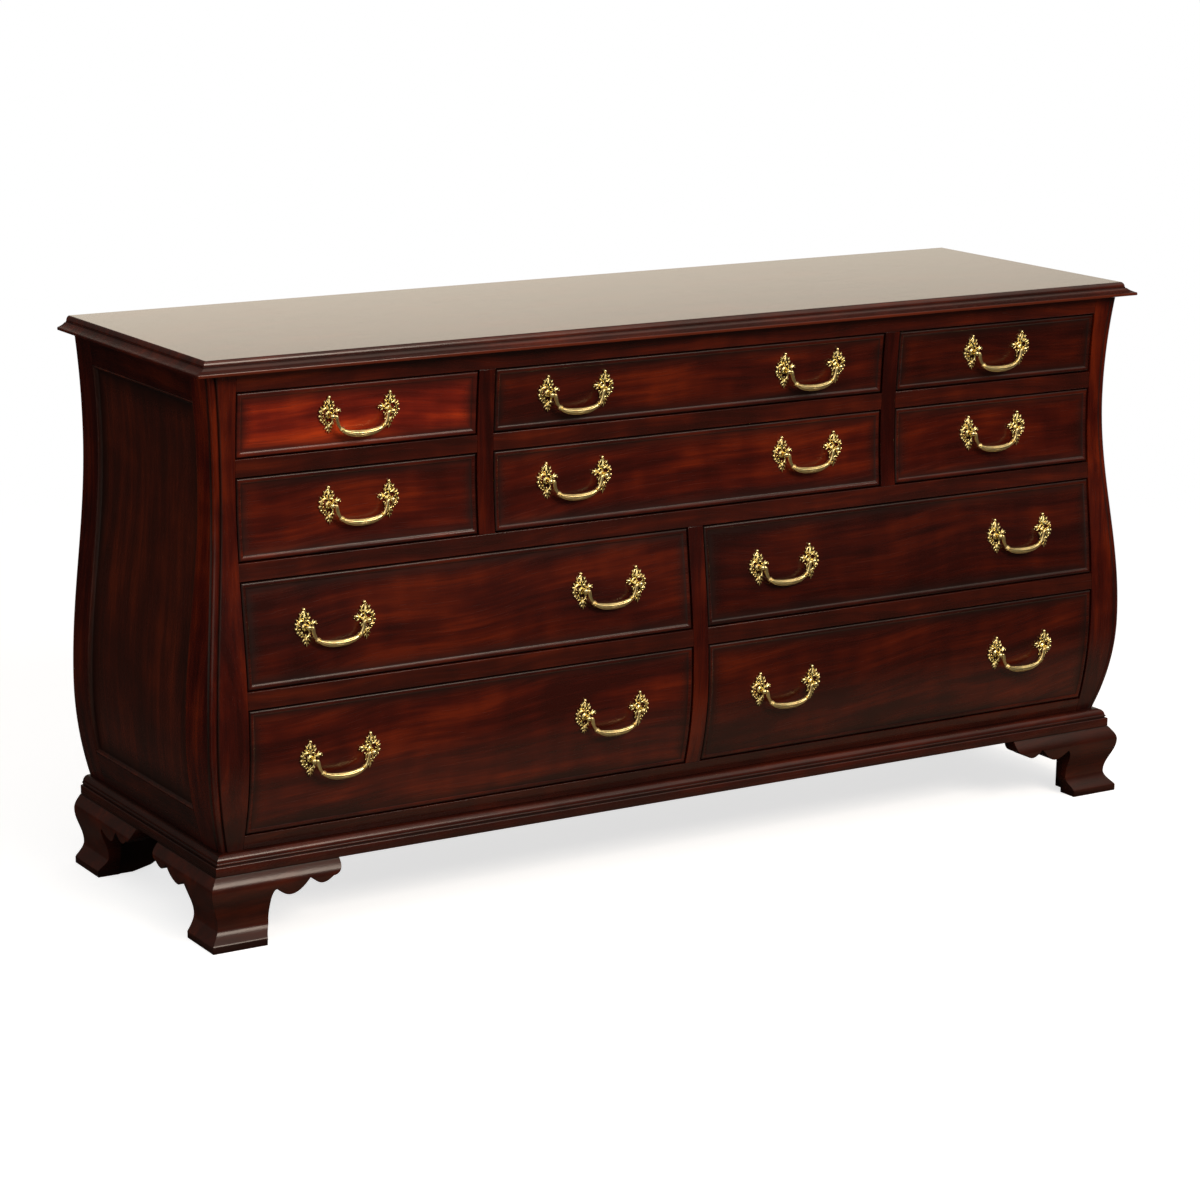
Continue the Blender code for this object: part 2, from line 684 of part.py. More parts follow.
def rosette(side):
    """Plate and post, standing proud along -y, bored towards the middle of the pull."""
    half = [(x * PLATE_WIDE / 2, z * PLATE_HIGH / 2) for x, z in PLATE_LOBES]
    outline = half + [(-x, z) for x, z in half[-2:0:-1]]
    plate = sweep([
        [(x, PLATE_EMBED, z) for x, z in outline],
        [(x * 0.78, -PLATE_PROUD, z * 0.84) for x, z in outline],
    ])
    turned = ((0.0, 0.0036), (PIVOT_PROUD - 0.0035, POST_RADIUS), (POST_PROUD - 0.0020, POST_RADIUS),
              (POST_PROUD, 0.0027))
    post = sweep([circle((0.0, -proud, 0.0), radius, 8, 1) for proud, radius in turned])
    depth = side * (PULL_BORE / 2 - ARM_X)
    hole = PIN_RADIUS + PIN_GAP
    bore = sweep([circle((x, -PIVOT_PROUD, 0.0), hole, 6, 0) for x in (-depth, 0.0005 * side)])
    return plate, post, bore


def fit_rosettes(body, pulls):
    """Screw the rosettes to a drawer front, square to its face."""
    steps = []
    bores = []
    for centre_x, row in pulls:
        z = pull_height(row)
        turn = Matrix.Rotation(-front_tilt(z), 4, "X")
        for side in (-1, 1):
            seat = Matrix.Translation((centre_x + side * PULL_BORE / 2, field_y(z), z)) @ turn
            plate, post, bore = rosette(side)
            for piece in (plate, post, bore):
                bmesh.ops.transform(piece, matrix=seat, verts=piece.verts)
            steps += [("UNION", plate), ("UNION", post)]
            bores.append(("DIFFERENCE", bore))
    return combine(body, steps + bores)


def bail(centre_x, row):
    """A cast bail: pins, arms, collars and a swelled grip, hanging straight down."""
    pivot_y, pivot_z = pull_point(row, PIVOT_PROUD)
    pin_tip = PULL_BORE / 2 - 0.0010
    half = [
        (pin_tip, 0.0, PIN_RADIUS), (ARM_X + ARM_RADIUS - 0.0003, 0.0, PIN_RADIUS),
        (ARM_X, -0.0008, ARM_RADIUS), (ARM_X - 0.0010, BAIL_DROP * -0.30, ARM_RADIUS),
        (ARM_X - BAIL_BEND, BAIL_DROP * -0.60, ARM_RADIUS),
        (ARM_X - BAIL_COLLAR[0], BAIL_DROP * -0.70, COLLAR_RADIUS),
        (ARM_X - BAIL_COLLAR[1], BAIL_DROP * -0.77, COLLAR_RADIUS * 0.8),
        (ARM_X * 0.42, BAIL_DROP * -0.94, GRIP_RADIUS * 0.9),
    ]
    path = half + [(0.0, -BAIL_DROP, GRIP_RADIUS)] + [(-x, z, r) for x, z, r in reversed(half)]
    spots = [Vector((x, 0.0, z)) for x, z, _ in path]
    sections = []
    for spot, (_, _, radius) in enumerate(path):
        ahead = spots[min(spot + 1, len(spots) - 1)]
        behind = spots[max(spot - 1, 0)]
        along = (ahead - behind).normalized()
        across = Vector((0.0, 1.0, 0.0)).cross(along)
        ring = []
        for side in range(6):
            turn = math.pi / 3 * side
            offset = across * math.cos(turn) + Vector((0.0, 1.0, 0.0)) * math.sin(turn)
            ring.append(tuple(spots[spot] + offset * radius))
        sections.append(ring)
    bm = sweep(sections)
    bmesh.ops.translate(bm, verts=bm.verts, vec=(centre_x, pivot_y, pivot_z))
    return bm, (centre_x, pivot_y, pivot_z)


# Drawers: a swelled front with a bead round its edge, and an open box behind it
def drawer_front(x, row):
    low = ROWS[row][0] + DRAWER_GAP
    high = ROWS[row][1] - DRAWER_GAP
    left = x[0] + DRAWER_GAP
    right = x[1] - DRAWER_GAP
    edges = [distance for distance, _ in FRONT_EDGE]
    heights = levels(low, high, edges)
    back = front_back(row)
    sections = []
    for z in heights:
        face = front_y(z) + FRONT_RECESS
        rise = min(z - low, high - z)
        ring = [(left, back), (right, back)]
        for edge in edges:
            ring.append((right - edge, face + relief(FRONT_EDGE, min(edge, rise))))
        for edge in reversed(edges):
            ring.append((left + edge, face + relief(FRONT_EDGE, min(edge, rise))))
        sections.append([(px, py, z) for px, py in ring])
    return sweep(sections)


def front_back(row):
    """Inner face of a row's drawer fronts."""
    return max(front_y(z) for z in levels(*ROWS[row])) + FRONT_THICK


def drawer_box(x, row):
    low = ROWS[row][0] + RUN_GAP
    high = ROWS[row][1] - BOX_DROP
    left = x[0] + DRAWER_GAP
    right = x[1] - DRAWER_GAP
    front = front_back(row) + FIT
    hollow = block((left + SIDE_BOARD, right - SIDE_BOARD),
                   (front - SIDE_BOARD, DRAWER_BACK - SIDE_BOARD), (low + BOTTOM_BOARD, high + RAIL))
    return combine(block((left, right), (front, DRAWER_BACK), (low, high)), [("DIFFERENCE", hollow)])


def drawer_places():
    """Each drawer: its name, its row, its opening and the middles of its pulls."""
    inner = DIVIDER_X - DIVIDER_THICK / 2
    outer = DIVIDER_X + DIVIDER_THICK / 2
    for row in ("row1", "row2"):
        middle = (outer + OPEN_HALF) / 2
        pull = inner - PULL_FROM_EDGE["centre"]
        yield f"{row}_left", row, (-OPEN_HALF, -outer), (-middle,)
        yield f"{row}_centre", row, (-inner, inner), (-pull, pull)
        yield f"{row}_right", row, (outer, OPEN_HALF), (middle,)
    for row in ("row3", "row4"):
        near = DIVIDER_THICK / 2
        pulls = (near + PULL_FROM_EDGE["half"], OPEN_HALF - PULL_FROM_EDGE["half"])
        yield f"{row}_left", row, (-OPEN_HALF, -near), (-pulls[1], -pulls[0])
        yield f"{row}_right", row, (near, OPEN_HALF), pulls


def drawer(name, row, opening, pulls):
    """One drawer on its slide, with its bails on their hinges."""
    middle = ((opening[0] + opening[1]) / 2, front_y(pull_height(row)), pull_height(row))
    slide = bpy.data.objects.new(f"drawer_{name}_slide", None)
    slide.location = Vector(middle) - Vector((0.0, MIDDLE_Y, 0.0))
    slide["travel"] = DRAWER_TRAVEL
    bpy.context.scene.collection.objects.link(slide)
    front = fit_rosettes(drawer_front(opening, row), [(x, row) for x in pulls])
    place(f"drawer_front_{name}", front, DRAWER_WOOD, middle, slide)
    place(f"drawer_box_{name}", drawer_box(opening, row), INNER_WOOD, middle, slide)
    sides = ("left", "right") if len(pulls) == 2 else ("",)
    for x, side in zip(pulls, sides):
        body, pivot = bail(x, row)
        hung = place(f"bail_{name}_{side}".rstrip("_"), body, BRASS, pivot, slide)
        hung["swing"] = BAIL_RANGE


top_board()
sided(corner_post, "corner_post", MAHOGANY)
sided(side_frame, "side_frame", MAHOGANY)
sided(side_panel, "side_panel", PANEL_WOOD)
case_boards()
place("divider_upper_left", divider(-DIVIDER_X, "row2", "row1"), MAHOGANY)
place("divider_upper_right", divider(DIVIDER_X, "row2", "row1"), MAHOGANY)
place("divider_lower", divider(0.0, "row4", "row3"), MAHOGANY)
back_panel()
base_frame()
sided(front_foot, "foot_front", MAHOGANY)
sided(rear_foot, "foot_rear", MAHOGANY)
for each in drawer_places():
    drawer(*each)
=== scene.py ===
"""Looks of the bombe dresser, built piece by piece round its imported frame, in metres."""

import math

import bmesh
import bpy
from mathutils import Matrix, Vector


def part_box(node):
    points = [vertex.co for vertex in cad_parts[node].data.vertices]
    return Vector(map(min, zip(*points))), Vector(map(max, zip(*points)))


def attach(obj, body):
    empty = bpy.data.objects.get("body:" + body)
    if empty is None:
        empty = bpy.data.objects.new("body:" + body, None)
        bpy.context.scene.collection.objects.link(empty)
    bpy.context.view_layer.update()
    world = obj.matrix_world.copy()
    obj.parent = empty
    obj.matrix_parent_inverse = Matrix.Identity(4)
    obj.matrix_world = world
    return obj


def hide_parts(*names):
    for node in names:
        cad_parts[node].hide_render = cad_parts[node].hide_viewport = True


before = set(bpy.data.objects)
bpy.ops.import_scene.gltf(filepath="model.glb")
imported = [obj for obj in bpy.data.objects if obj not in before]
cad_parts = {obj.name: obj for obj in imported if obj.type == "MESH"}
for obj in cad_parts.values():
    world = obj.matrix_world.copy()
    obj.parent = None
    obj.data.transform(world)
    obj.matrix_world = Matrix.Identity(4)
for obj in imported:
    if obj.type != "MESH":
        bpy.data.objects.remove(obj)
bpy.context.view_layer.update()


# Feet. Ogee brackets sawn from thick mahogany: two moulded boards mitred at each front
# corner and one at each rear corner, with a scalloped wing, glued up under the base.
# Stained deep red-brown and lacquered, darker at the sole, with painted shade in the hollows.
class Shade:
    """A value in a finish. Sums on it add Math nodes, so a finish reads as arithmetic."""

    def __init__(self, tree, socket=None):
        self.tree = tree
        self.socket = socket

    def make(self, kind, settings, inputs, output=0):
        """Add a node, set it up, feed its sockets and return one of its outputs."""
        made = self.tree.nodes.new(kind)
        for name, value in settings.items():
            if name == "stops":
                ramp = made.color_ramp
                while len(ramp.elements) < len(value):
                    ramp.elements.new(0.5)
                for element, (position, colour) in zip(ramp.elements, value):
                    element.position = position
                    element.color = (*colour, 1.0)
            else:
                setattr(made, name, value)
        for name, value in inputs.items():
            if isinstance(value, Shade):
                self.tree.links.new(value.socket, made.inputs[name])
            else:
                made.inputs[name].default_value = value
        return Shade(self.tree, made.outputs[output])

    def math(self, operation, *values):
        return self.make("ShaderNodeMath", {"operation": operation}, dict(enumerate(values)))

    def __add__(self, other):
        return self.math("ADD", self, other)

    def __sub__(self, other):
        return self.math("SUBTRACT", self, other)

    def __rsub__(self, other):
        return self.math("SUBTRACT", other, self)

    def __mul__(self, other):
        return self.math("MULTIPLY", self, other)

    __radd__ = __add__
    __rmul__ = __mul__

    def between(self, low, high):
        """0 at low and below, 1 at high and above, with a soft start and end."""
        settings = {"interpolation_type": "SMOOTHSTEP"}
        return self.make("ShaderNodeMapRange", settings,
                         {"Value": self, "From Min": low, "From Max": high})

    def blend(self, first, second):
        """A colour between two, where this value is the share of the second."""
        colours = [item if isinstance(item, Shade) else (*item, 1.0) for item in (first, second)]
        return self.make("ShaderNodeMix", {"data_type": "RGBA"},
                         {0: self, 6: colours[0], 7: colours[1]}, 2)

    def place(self, kind="Object"):
        """Where a point lies on its piece or, as Generated in the world, where a ray heads."""
        return self.make("ShaderNodeTexCoord", {}, {}, kind)

    def axis(self, letter):
        """One coordinate of this place."""
        return self.make("ShaderNodeSeparateXYZ", {}, {0: self}, letter)

    def mapped(self, **inputs):
        """This place moved, turned or stretched."""
        return self.make("ShaderNodeMapping", {"vector_type": "POINT"}, {"Vector": self, **inputs})

    def glaze(self):
        """The painted shade on wood and the patina on brass, which a piece's shape carries with it."""
        return self.make("ShaderNodeAttribute", {"attribute_name": "glaze"}, {}, "Fac")

    def noise(self, scale, detail, rough=0.5):
        """Noise at this place, with its scale per metre."""
        inputs = {"Vector": self, "Scale": scale, "Detail": detail, "Roughness": rough}
        return self.make("ShaderNodeTexNoise", {}, inputs)

    def ramp(self, stops):
        """This value's colour among stops."""
        return self.make("ShaderNodeValToRGB", {"stops": stops}, {0: self})

    def relief(self, strength, distance):
        """The slope that this height gives the surface."""
        inputs = {"Height": self, "Strength": strength, "Distance": distance}
        return self.make("ShaderNodeBump", {}, inputs)


def opened(name, **constants):
    """A new material, its shader with constant sockets set, and a start for its values."""
    made = bpy.data.materials.new(name)
    made.use_nodes = True
    shader = made.node_tree.nodes["Principled BSDF"]
    for socket, value in constants.items():
        shader.inputs[socket.replace("_", " ")].default_value = value
    return made, shader, Shade(made.node_tree)


def feed(shader, **values):
    """Link worked-out values to the sockets of a shader."""
    for socket, value in values.items():
        value.tree.links.new(value.socket, shader.inputs[socket.replace("_", " ")])


STAIN = ((0.32, (0.0230, 0.0014, 0.0007)), (0.45, (0.0410, 0.0026, 0.0010)),
         (0.56, (0.0660, 0.0050, 0.0011)), (0.74, (0.1250, 0.0116, 0.0015)))
TONER_BROWN = (0.0300, 0.0110, 0.0070)
PAINTED_SHADE_TONE = (0.0070, 0.0022, 0.0014)
PALE_EDGE_GAIN = (1.8, 2.4, 3.0)     # how much paler an edge is painted than the palest stain, as painted light
GRAIN_BEND = 0.08               # how far the grain wanders across a board


def mahogany(name, grain, tone=1.0, start=0.0, gloss=0.22, flat_axis=None, toner=0.05, lean=0.0,
             **constants):
    """Stained mahogany with its grain along x, y or z: clouds, flames and ribbons of stain
    under a brown toner, pores that show in the lacquer, a dark tone that paints the shade
    in recesses and quirks where the glaze value is above zero, and edges painted
    paler, as painted light, where it is below zero."""
    made, shader, values = opened(name, **{"Specular_IOR_Level": 0.45, **constants})
    here = values.place()
    if lean:
        here = here.mapped(Rotation=(0.0, lean, 0.0))
    bend = [GRAIN_BEND, GRAIN_BEND, GRAIN_BEND]
    bend["xyz".index(grain)] = 0.0
    wander = {0: here.noise(2.2, 1.0), 1: tuple(bend), 2: here}
    bent = values.make("ShaderNodeVectorMath", {"operation": "MULTIPLY_ADD"}, wander)

    def figure(along, scale, detail, rough=0.5, wide=1.0):
        """Noise stretched along the grain, and along the depth of the board."""
        across = [wide, wide, wide]
        if flat_axis:
            across["xyz".index(flat_axis)] = 0.2
        across["xyz".index(grain)] = along
        board = bent.mapped(Location=(start, start * 0.7, start * 1.3), Scale=tuple(across))
        return board.noise(scale, detail, rough)

    clouds = figure(0.30, 11.0, 2.0)
    flames = figure(0.13, 44.0, 2.0)
    mottle = figure(1.0, 24.0, 1.0, 0.5, 0.45)
    ribbons = figure(0.045, 120.0, 2.0, 0.55)
    streaks = figure(0.028, 300.0, 2.0, 0.6)
    pores = figure(0.030, 900.0, 1.0)
    shares = clouds * 0.58 + flames * 0.70 + mottle * 0.28 + ribbons * 0.32 + streaks * 0.20 - 0.54
    stops = []
    for place, stain in STAIN:
        shaded = [tone * (level + (brown - level) * toner) for level, brown in zip(stain, TONER_BROWN)]
        stops.append((place, tuple(shaded)))
    darkest, palest = stops[0][1], stops[-1][1]
    pitted = pores.between(0.56, 0.70)
    pored = (pitted * 0.35).blend(shares.ramp(stops), darkest)
    darkening = values.glaze()
    # Below zero the stain is painted paler: painted light on the nose of the top.
    palest_edge = [level * gain for level, gain in zip(palest, PALE_EDGE_GAIN)]
    painted_pale_edge = (0.0 - darkening).blend(pored, palest_edge)
    # Painted shade: the stain is blended towards a dark tone in the recesses and quirks that the value
    # marks.
    with_painted_shade = (darkening * 0.94).blend(painted_pale_edge, PAINTED_SHADE_TONE)
    rough = gloss + (streaks - 0.5) * 0.08 + darkening * 0.16 + pitted * 0.05
    relief = (pitted * -0.35 + streaks * 0.25).relief(0.12, 0.0003)
    feed(shader, Base_Color=with_painted_shade, Roughness=rough, Normal=relief)
    return made


def run(sections):
    """Extrude a face from one section of a piece to the next, point by point."""
    bm = bmesh.new()
    ring = [bm.verts.new(point) for point in sections[0]]
    face = bm.faces.new(ring)
    for section in sections[1:]:
        order = {tuple(vert.co): spot for spot, vert in enumerate(ring)}
        grown = bmesh.ops.extrude_face_region(bm, geom=[face, *face.edges])
        face = next(item for item in grown["geom"] if isinstance(item, bmesh.types.BMFace))
        ring = [None] * len(section)
        for vert in face.verts:
            ring[order[tuple(vert.co)]] = vert
        for vert, point in zip(ring, section):
            vert.co = point
    bmesh.ops.recalc_face_normals(bm, faces=bm.faces)
    return bm


def board(outline, axis, low, high):
    """A board sawn to an outline, standing square to an axis."""
    spot = "xyz".index(axis)
    ends = []
    for level in (low, high):
        ends.append([tuple([*point[:spot], level, *point[spot:]]) for point in outline])
    return run(ends)


def meshed(name, bm):
    """A mesh of a shape, which is used up."""
    mesh = bpy.data.meshes.new(name)
    bm.to_mesh(mesh)
    bm.free()
    return mesh


def stood(name, data):
    """A new object in the scene, for a mesh, a lamp or a camera."""
    made = bpy.data.objects.new(name, data)
    bpy.context.scene.collection.objects.link(made)
    return made


def joined(bm, tools):
    """Cut pieces from a body, or glue them to it, in turn."""
    work = [stood("blank", meshed("blank", shape)) for shape in [bm, *[tool for _, tool in tools]]]
    for tool, (operation, _) in zip(work[1:], tools):
        change = work[0].modifiers.new(operation, "BOOLEAN")
        change.operation = operation
        change.solver = "EXACT"
        change.object = tool
    bpy.context.view_layer.update()
    result = bmesh.new()
    result.from_object(work[0], bpy.context.evaluated_depsgraph_get())
    for item in work:
        bpy.data.meshes.remove(item.data, do_unlink=True)
    return result


def handed(bm, side):
    """A left piece as it is, or mirrored where it goes on the right."""
    if side == "right":
        bmesh.ops.scale(bm, verts=bm.verts, vec=(-1.0, 1.0, 1.0))
        bmesh.ops.reverse_faces(bm, faces=bm.faces)
    return bm


def glaze(bm, rule):
    """Mark a piece with painted shade on wood and patina on brass: the rule gives how dark it
    is at a point, from 0 to 1, or down to -1 where an edge is painted paler, as painted light."""
    layer = bm.verts.layers.float.new("glaze")
    for vert in bm.verts:
        vert[layer] = min(max(rule(vert.co), -1.0), 1.0)
    return bm


def plain(point):
    """No glaze anywhere."""
    return 0.0


def fitted(name, bm, finish, body, nodes, crease=32.0, round_off=0.0):
    """Turn a shape into a finished piece that rides on a body."""
    bmesh.ops.remove_doubles(bm, verts=bm.verts, dist=0.000002)
    mesh = meshed(name, bm)
    mesh.materials.append(finish)
    mesh.shade_smooth()
    mesh.set_sharp_from_angle(angle=math.radians(crease))
    made = stood(name, mesh)
    if round_off:
        soften = made.modifiers.new("soften", "BEVEL")
        soften.width = round_off
        soften.segments = 2
        soften.limit_method = "ANGLE"
        soften.angle_limit = math.radians(40.0)
    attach(made, body)
    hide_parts(*nodes)


nose_corner, back_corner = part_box("top_board")
NOSE_Y = nose_corner.y
HALF_TOP = back_corner.x
CASE_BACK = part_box("side_frame_left")[1].y
FOOT_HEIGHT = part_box("foot_front_left")[1].z
TOE_OUT = NOSE_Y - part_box("foot_front_left")[0].y
SIDE_OFFSET = HALF_TOP + TOE_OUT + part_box("foot_front_left")[0].x   # the sides lie further in
TOE_HIGH = 0.0115
TOE_SOFT = 0.0008
TOE_CURVE = 0.8             # below 1 the toe's rounding is shorter than the hollow above it
ANKLE_IN = 0.0080
ANKLE_HIGH = 0.035
KNEE_HIGH = 0.0935
FOOT_TOP_IN = 0.0045
BRACKET_BACK = 0.030
FOOT_WIDE = 0.0915
STEP_LOW = 0.008            # where the inner edge starts to step out
STEP_RISE = 0.026
STEP_OUT = 0.009
WING_LONG = 0.221
WING_CUSPS = ((0.0172, 0.0866), (0.0745, 0.0972), (0.1139, 0.0932))     # beyond FOOT_WIDE, height
WING_LOBES = ((0.018, 18), (0.0105, 14))                                # sag between cusps, steps
WING_SPRING = 0.068         # height at which the first hollow starts
WING_TIP_RISE = 0.017
BLOCK_SIZE = 0.036
REAR_BRACKET_THICK = 0.020
REAR_BRACKET_LONG = 0.190
REAR_BRACKET_TOE = 0.062
CUT_OVER = 0.010            # how far a cutter reaches beyond the wood
GLUE_LAP = 0.002            # how far glued blocks run into each other
FOOT_WEAR = 0.0009          # rounding of the sawn edges


def corner_x(inset):
    """Half the width of the base frame or a foot at an inset from the nose line."""
    return HALF_TOP - SIDE_OFFSET - inset


def arc(centre, reach, start, end, steps):
    """Points round an ellipse, from one turn to another in degrees."""
    points = []
    for step in range(steps + 1):
        turn = math.radians(start + (end - start) * step / steps)
        points.append((centre[0] + reach[0] * math.cos(turn), centre[1] + reach[1] * math.sin(turn)))
    return points


def part_way(start, end, across, up):
    """A point between two, with its own share of the way across and of the way up."""
    return start[0] + (end[0] - start[0]) * across, start[1] + (end[1] - start[1]) * up


def ogee():
    """Face of a bracket from the sole up: toe, hollow and round knee, and the inner face."""
    toe = -TOE_OUT + 0.0003
    points = [(-TOE_OUT + TOE_SOFT, 0.0), (-TOE_OUT, 0.0010), (-TOE_OUT, TOE_HIGH - TOE_SOFT),
              (toe, TOE_HIGH)]
    stretches = (
        (14, (toe, TOE_HIGH), (ANKLE_IN, ANKLE_HIGH),
         lambda part: 0.5 * math.sin(math.pi / 2 * part ** TOE_CURVE) ** 2 + 0.5 * (1 - (1 - part) ** 2)),
        (18, (ANKLE_IN, ANKLE_HIGH), (-TOE_OUT, KNEE_HIGH),
         lambda part: (1 - math.cos(math.pi * part)) / 2),
        (14, (-TOE_OUT, KNEE_HIGH), (FOOT_TOP_IN, FOOT_HEIGHT),
         lambda part: 1 - math.cos(math.pi / 2 * part)),
    )
    for steps, start, end, swing in stretches:
        for step in range(1, steps + 1):
            part = step / steps
            points.append(part_way(start, end, swing(part), part))
    return points + [(BRACKET_BACK, FOOT_HEIGHT), (BRACKET_BACK, 0.0)]


def scallops():
    """Outline that the bow saw follows under a wing, from the toe corner outwards."""
    first, second, last = [(FOOT_WIDE + beyond, height) for beyond, height in WING_CUSPS]
    points = [(FOOT_WIDE, -CUT_OVER), (FOOT_WIDE, STEP_LOW)]
    for step in range(1, 9):
        out = STEP_OUT * (1 - math.cos(math.pi * step / 8)) / 2
        points.append((FOOT_WIDE + out, STEP_LOW + STEP_RISE * step / 8))
    inner = FOOT_WIDE + STEP_OUT
    points += [(inner, WING_SPRING),
               *arc((first[0], WING_SPRING), (inner - first[0], first[1] - WING_SPRING), 0.0, 90.0, 8)[1:]]
    for start, end, (sag, steps) in zip((first, second), (second, last), WING_LOBES):
        for step in range(1, steps + 1):
            part = step / steps
            along, height = part_way(start, end, part, part)
            points.append((along, height - sag * math.sin(math.pi * part)))
    tip = last[1] + WING_TIP_RISE
    points += arc((last[0], tip), (WING_LONG - last[0], WING_TIP_RISE), -90.0, 0.0, 8)[1:]
    beyond = WING_LONG + 2 * CUT_OVER
    return points + [(WING_LONG, FOOT_HEIGHT + CUT_OVER), (beyond, FOOT_HEIGHT + CUT_OVER),
                     (beyond, -CUT_OVER)]


def front_foot():
    face = ogee()
    toe_x = -corner_x(-TOE_OUT)
    toe_y = NOSE_Y - TOE_OUT
    wing = WING_LONG + CUT_OVER
    inner = [(toe_x + wing, NOSE_Y + inset, z) for inset, z in face]
    mitre = [(-corner_x(inset), NOSE_Y + inset, z) for inset, z in face]
    rear = [(-corner_x(inset), toe_y + wing, z) for inset, z in face]
    wings = scallops()
    front_cut = [(toe_x + along, z) for along, z in wings]
    side_cut = [(toe_y + along, z) for along, z in wings]
    block_x = -corner_x(BRACKET_BACK)
    block_y = NOSE_Y + BRACKET_BACK
    corners = [(block_x - GLUE_LAP, block_y - GLUE_LAP), (block_x + BLOCK_SIZE, block_y - GLUE_LAP),
               (block_x + BLOCK_SIZE, block_y + BLOCK_SIZE), (block_x - GLUE_LAP, block_y + BLOCK_SIZE)]
    steps = [
        ("DIFFERENCE", board(front_cut, "y", toe_y - CUT_OVER, block_y + CUT_OVER)),
        ("DIFFERENCE", board(side_cut, "x", toe_x - CUT_OVER, block_x + CUT_OVER)),
        ("UNION", board(corners, "z", 0.0, FOOT_HEIGHT)),
    ]
    return joined(run([inner, mitre, rear]), steps)


def rear_foot():
    face = ogee()
    toe_x = -corner_x(-TOE_OUT)
    inner_x = -corner_x(BRACKET_BACK)
    front = [(-corner_x(inset), CASE_BACK - WING_LONG - CUT_OVER, z) for inset, z in face]
    rear = [(-corner_x(inset), CASE_BACK, z) for inset, z in face]
    side_cut = [(CASE_BACK - along, z) for along, z in scallops()]
    curve = []
    for step in range(17):
        part = step / 16
        reach = REAR_BRACKET_TOE + (REAR_BRACKET_LONG - REAR_BRACKET_TOE) * math.sqrt(part)
        curve.append((toe_x + reach, FOOT_HEIGHT * part))
    outline = [(inner_x - GLUE_LAP, 0.0), *curve, (inner_x - GLUE_LAP, FOOT_HEIGHT)]
    face_y = CASE_BACK - FOOT_WIDE + GLUE_LAP
    steps = [
        ("DIFFERENCE", board(side_cut, "x", toe_x - CUT_OVER, inner_x + CUT_OVER)),
        ("UNION", board(outline, "y", face_y, face_y + REAR_BRACKET_THICK)),
    ]
    return joined(run([front, rear]), steps)


def foot_shade(point):
    """Darker at the sole, with painted shade under the base and behind the bracket's face."""
    sole = 1.0 - (point.z - TOE_HIGH + 0.0012) / 0.0008
    behind = (abs(point.x) < corner_x(0.020)) and (point.y > NOSE_Y + 0.020)
    top = 1.0 - (FOOT_HEIGHT - point.z) / 0.0020
    return max(min(sole, 1.0) * 0.80, top * 0.9, 0.55 if behind else 0.0)


foot_finish = mahogany("foot_mahogany", "x", tone=0.95, start=3.1, toner=0.55, gloss=0.20,
                       Specular_IOR_Level=0.36)
for corner, shape in (("front", front_foot), ("rear", rear_foot)):
    for side in ("left", "right"):
        foot = glaze(handed(shape(), side), foot_shade)
        name = f"foot_{corner}_{side}"
        fitted(f"{name}_bracket", foot, foot_finish, "case", [name], round_off=FOOT_WEAR)


# Base frame. A moulding runs round the front and sides between the feet and the case,
# mitred at the front corners: a fascia, a small bead, and a round that rises to a flat.
# A plain rail of secondary wood closes it at the back.
BASE_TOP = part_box("base_moulding_front")[1].z
FASCIA_IN = 0.0050
FASCIA_TOP = FOOT_HEIGHT + 0.0150
FASCIA_SOFT = 0.0018        # rounding at the fascia's top
STEP_IN = 0.0090            # inset of the quirk above the fascia
MOULD_BEAD = 0.0016
BEAD_MIDDLE = FASCIA_TOP + 0.0036
MOULD_DEEP = 0.040
MOULD_FLAT = 0.0060
BASE_IN = 0.0256            # inset of the case at its base, on the front
JOINT = 0.0003              # gap between glued pieces


def base_profile():
    low = FOOT_HEIGHT + JOINT
    quirk = STEP_IN + 0.0002
    round_low = BEAD_MIDDLE + MOULD_BEAD + 0.0002
    flat_from = BASE_IN - MOULD_FLAT
    back = FASCIA_IN + MOULD_DEEP
    soft = (FASCIA_IN + FASCIA_SOFT, FASCIA_TOP - FASCIA_SOFT)
    return [
        (FASCIA_IN + 0.0005, low), (FASCIA_IN, low + 0.0005),
        *arc(soft, (-FASCIA_SOFT, FASCIA_SOFT), 0.0, 90.0, 5),
        (STEP_IN, FASCIA_TOP + 0.0003),
        *arc((quirk, BEAD_MIDDLE), (-MOULD_BEAD, MOULD_BEAD), -80.0, 80.0, 8),
        *arc((flat_from, round_low), (quirk - flat_from, BASE_TOP - round_low), 0.0, 90.0, 14),
        (back, BASE_TOP), (back, low),
    ]


def base_shade(point):
    """Painted shade in the quirks under and over the bead, along the fascia's foot and along the top where
    the moulding meets the case.
    """
    under = 1.0 - (abs(point.z - FASCIA_TOP - 0.0009) - 0.0007) / 0.0008
    over = 1.0 - abs(point.z - BEAD_MIDDLE - MOULD_BEAD) / 0.0010
    foot = 1.0 - (point.z - FOOT_HEIGHT) / 0.0030
    top = 1.0 - (BASE_TOP - point.z) / 0.0008
    return max(min(under, 1.0) * 0.95, over * 0.9, foot * 0.8, top * 0.6, 0.0)


mitre_gap = JOINT / math.sqrt(2.0)
moulding = base_profile()
front_moulding = run([
    [(-corner_x(inset) + mitre_gap, NOSE_Y + inset, z) for inset, z in moulding],
    [(corner_x(inset) - mitre_gap, NOSE_Y + inset, z) for inset, z in moulding],
])
fitted("base_moulding_front_strip", glaze(front_moulding, base_shade),
       mahogany("base_mahogany", "x", tone=1.15, start=1.7, toner=0.35, gloss=0.22), "case",
       ["base_moulding_front"])
